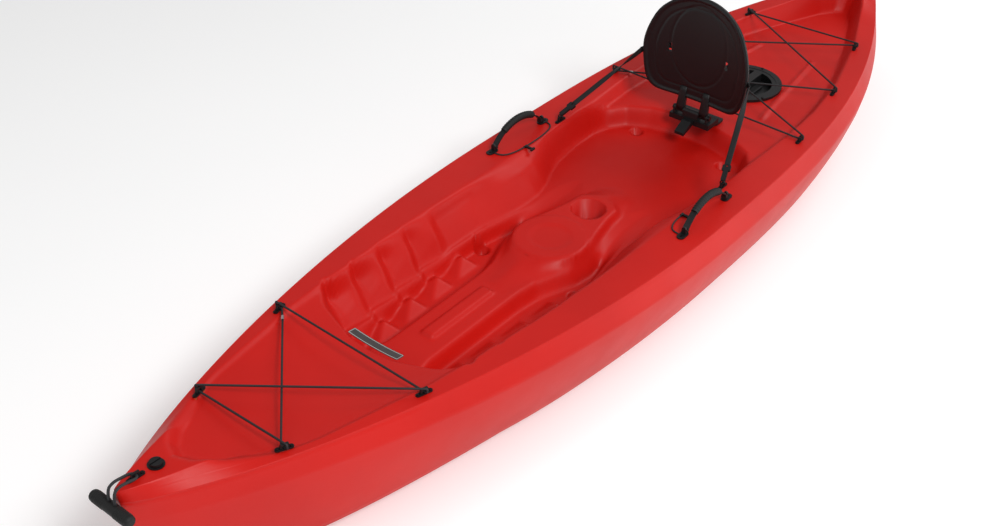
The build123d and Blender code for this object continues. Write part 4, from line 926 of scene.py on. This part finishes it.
# ---------------------------------------------------------------- seat back straps
# Flat polypropylene webbing, sewn through each slot of the shield and carried round its edge down to a moulded
# hook on the deck.
def webbing_finish():
    """Plain weave on its own UV map: u along the strap and v across it, both in metres."""
    finish = Finish("black_webbing", 0.68, 0.3)
    uv = finish.node("ShaderNodeUVMap", {"uv_map": "along"})[0]
    split = finish.node("ShaderNodeSeparateXYZ", None, {0: uv})
    ribs = (split[0] * (2 * math.pi / 0.0016)).sine()
    cords = (split[1] * (2 * math.pi / 0.0022)).sine()
    weave = 0.5 + 0.5 * (ribs * cords)
    fuzz = finish.noise(1600.0, 2.0)
    share = weave * 0.6 + fuzz * 0.3
    finish.feed("Base Color", finish.mix(share, (0.005, 0.005, 0.0055), (0.018, 0.018, 0.019)))
    finish.feed("Roughness", 0.55 + weave * 0.2)
    finish.bump(weave * 0.8 + fuzz * 0.2, 0.0005, 0.9)
    return finish.material


black_webbing = webbing_finish()
grey_thread = black_finish("grey_thread", (0.05, 0.05, 0.052), 0.7, 2500.0, 0.00005)


def webbing(name, centres, spread, width, thickness):
    """Flat strap along a line of points; its width lies as near to the spread at each as it can."""
    centres = [Vector(point) for point in centres]
    spreads = [Vector(way) for way in spread]
    work = bmesh.new()
    uv_layer = work.loops.layers.uv.new("along")
    rings, lengths, run = [], [], 0.0
    for i, point in enumerate(centres):
        tangent = (centres[min(i + 1, len(centres) - 1)] - centres[max(i - 1, 0)]).normalized()
        across_it = (spreads[i] - tangent * tangent.dot(spreads[i])).normalized()
        face_way = tangent.cross(across_it)
        if i:
            run += (point - centres[i - 1]).length
        half = width / 2
        ring = []
        for u, v in ((-1, 0.4), (-0.96, 1), (-0.5, 1), (0, 1), (0.5, 1), (0.96, 1), (1, 0.4), (1, -0.4),
                     (0.96, -1), (0.5, -1), (0, -1), (-0.5, -1), (-0.96, -1), (-1, -0.4)):
            ring.append(work.verts.new(point + across_it * (half * u) + face_way * (thickness / 2 * v)))
        rings.append((ring, (-1, -0.96, -0.5, 0, 0.5, 0.96, 1, 1, 0.96, 0.5, 0, -0.5, -0.96, -1)))
        lengths.append(run)
    for i in range(len(rings) - 1):
        ring, places = rings[i]
        after = rings[i + 1][0]
        for k in range(len(ring)):
            nxt = (k + 1) % len(ring)
            face = work.faces.new((ring[k], ring[nxt], after[nxt], after[k]))
            for loop, (u, v) in zip(face.loops, ((lengths[i], places[k]), (lengths[i], places[nxt]),
                                                 (lengths[i + 1], places[nxt]), (lengths[i + 1], places[k]))):
                loop[uv_layer].uv = (u, v * width / 2)
            face.smooth = True
    work.faces.new(rings[0][0][::-1])
    work.faces.new(rings[-1][0])
    mesh = bpy.data.meshes.new(name)
    work.to_mesh(mesh)
    work.free()
    made = bpy.data.objects.new(name, mesh)
    bpy.context.scene.collection.objects.link(made)
    return made


for side, word in ((1, "port"), (-1, "starboard")):
    give(word + "_strap_hook", black_nylon)
    behind = BACK_X + BACK_RADIUS - 0.0018
    turns = []
    for y in np.linspace(SLOT_Y, 0.158, 12):
        turns.append((behind - math.sqrt((BACK_RADIUS + SHELL) ** 2 - y * y), side * y,
                      SLOT_Z - 0.33 * max(y - 0.095, 0.0)))
    seams = [[(x - 0.0011, y, z + lift) for x, y, z in turns[1:9]] for lift in (-0.0058, 0.0058)]
    add_row(word + "_strap_stitches", stitch_row, seams, grey_thread, "backrest", "black_webbing",
            Count=12, Radius=0.0024, Thickness=0.0005)
    edge = Vector((turns[-1][0] + 0.006, side * 0.1725, 0.4065))
    eye_bar = eye_place(word + "_strap_eye") + Vector((0, 0, 0.012))
    start = eye_bar + Vector((0, 0, 0.008))
    pull = (edge - start).normalized()
    end = start + pull * 0.047
    leads = [edge + (end - edge) * share for share in np.linspace(0, 1, 40)]
    ways = [(0, 0, 1)] * len(turns)
    for share in np.linspace(0, 1, 40):
        lean = math.pi / 2 * float(ease(share * 1.6))
        ways.append((0, -side * math.sin(lean), math.cos(lean)))
    strap = webbing(word + "_back_webbing", turns + [tuple(point) for point in leads], ways, 0.016, 0.0022)
    finish_mesh(strap, black_webbing, None)
    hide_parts(word + "_back_strap")
    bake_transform(strap)


# ---------------------------------------------------------------- floor, light and camera
def floor_finish():
    finish = Finish("pale_floor", 0.9, 0.2)
    finish.feed("Base Color", finish.mix(finish.noise(0.7), (0.90, 0.90, 0.90), (0.93, 0.93, 0.93)))
    finish.shader.inputs["Emission Color"].default_value = (1.0, 1.0, 1.0, 1.0)
    finish.shader.inputs["Emission Strength"].default_value = 0.16
    return finish.material


floor = plain_mesh("floor", [(-40, -40, -0.001), (40, -40, -0.001), (40, 40, -0.001), (-40, 40, -0.001)],
                   [(0, 1, 2, 3)])
floor.data.materials.append(floor_finish())
floor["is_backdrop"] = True
world = bpy.data.worlds.new("studio")
bpy.context.scene.world = world
world.use_nodes = True
world.node_tree.nodes["Background"].inputs["Color"].default_value = (1.0, 1.0, 1.0, 1.0)
world.node_tree.nodes["Background"].inputs["Strength"].default_value = 0.43
for name, where, size, power in (("key", (1.6, 3.3, 3.8), 1.3, 150.0), ("fill", (3.8, -1.4, 3.6), 2.0, 20.0),
                                 ("back", (-3.2, 1.0, 3.4), 2.0, 50.0), ("side", (-3.0, 4.0, 0.9), 1.4, 36.0)):
    lamp = bpy.data.lights.new(name, "AREA")
    lamp.energy = power
    lamp.size = size
    light = bpy.data.objects.new(name, lamp)
    bpy.context.scene.collection.objects.link(light)
    light.location = where
    light.rotation_euler = Vector(where).to_track_quat("Z", "Y").to_euler()

yaw, pitch, tilt = math.radians(219.186), math.radians(36.873), math.radians(0.220)
forward = Vector((math.cos(yaw) * math.cos(pitch), math.sin(yaw) * math.cos(pitch), -math.sin(pitch)))
right = forward.cross(Vector((0, 0, 1))).normalized()
up = right.cross(forward)
right, up = right * math.cos(tilt) + up * math.sin(tilt), up * math.cos(tilt) - right * math.sin(tilt)
lens = bpy.data.cameras.new("studio_camera")
lens.lens = 46.72
lens.sensor_width = 36.0
camera = bpy.data.objects.new("studio_camera", lens)
bpy.context.scene.collection.objects.link(camera)
facing = Matrix((right, up, -forward)).transposed().to_4x4()
camera.matrix_world = Matrix.Translation((2.3634, 1.5875, 2.1088)) @ facing
bpy.context.scene.camera = camera
bpy.context.scene.view_settings.view_transform = "Standard"

low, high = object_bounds()
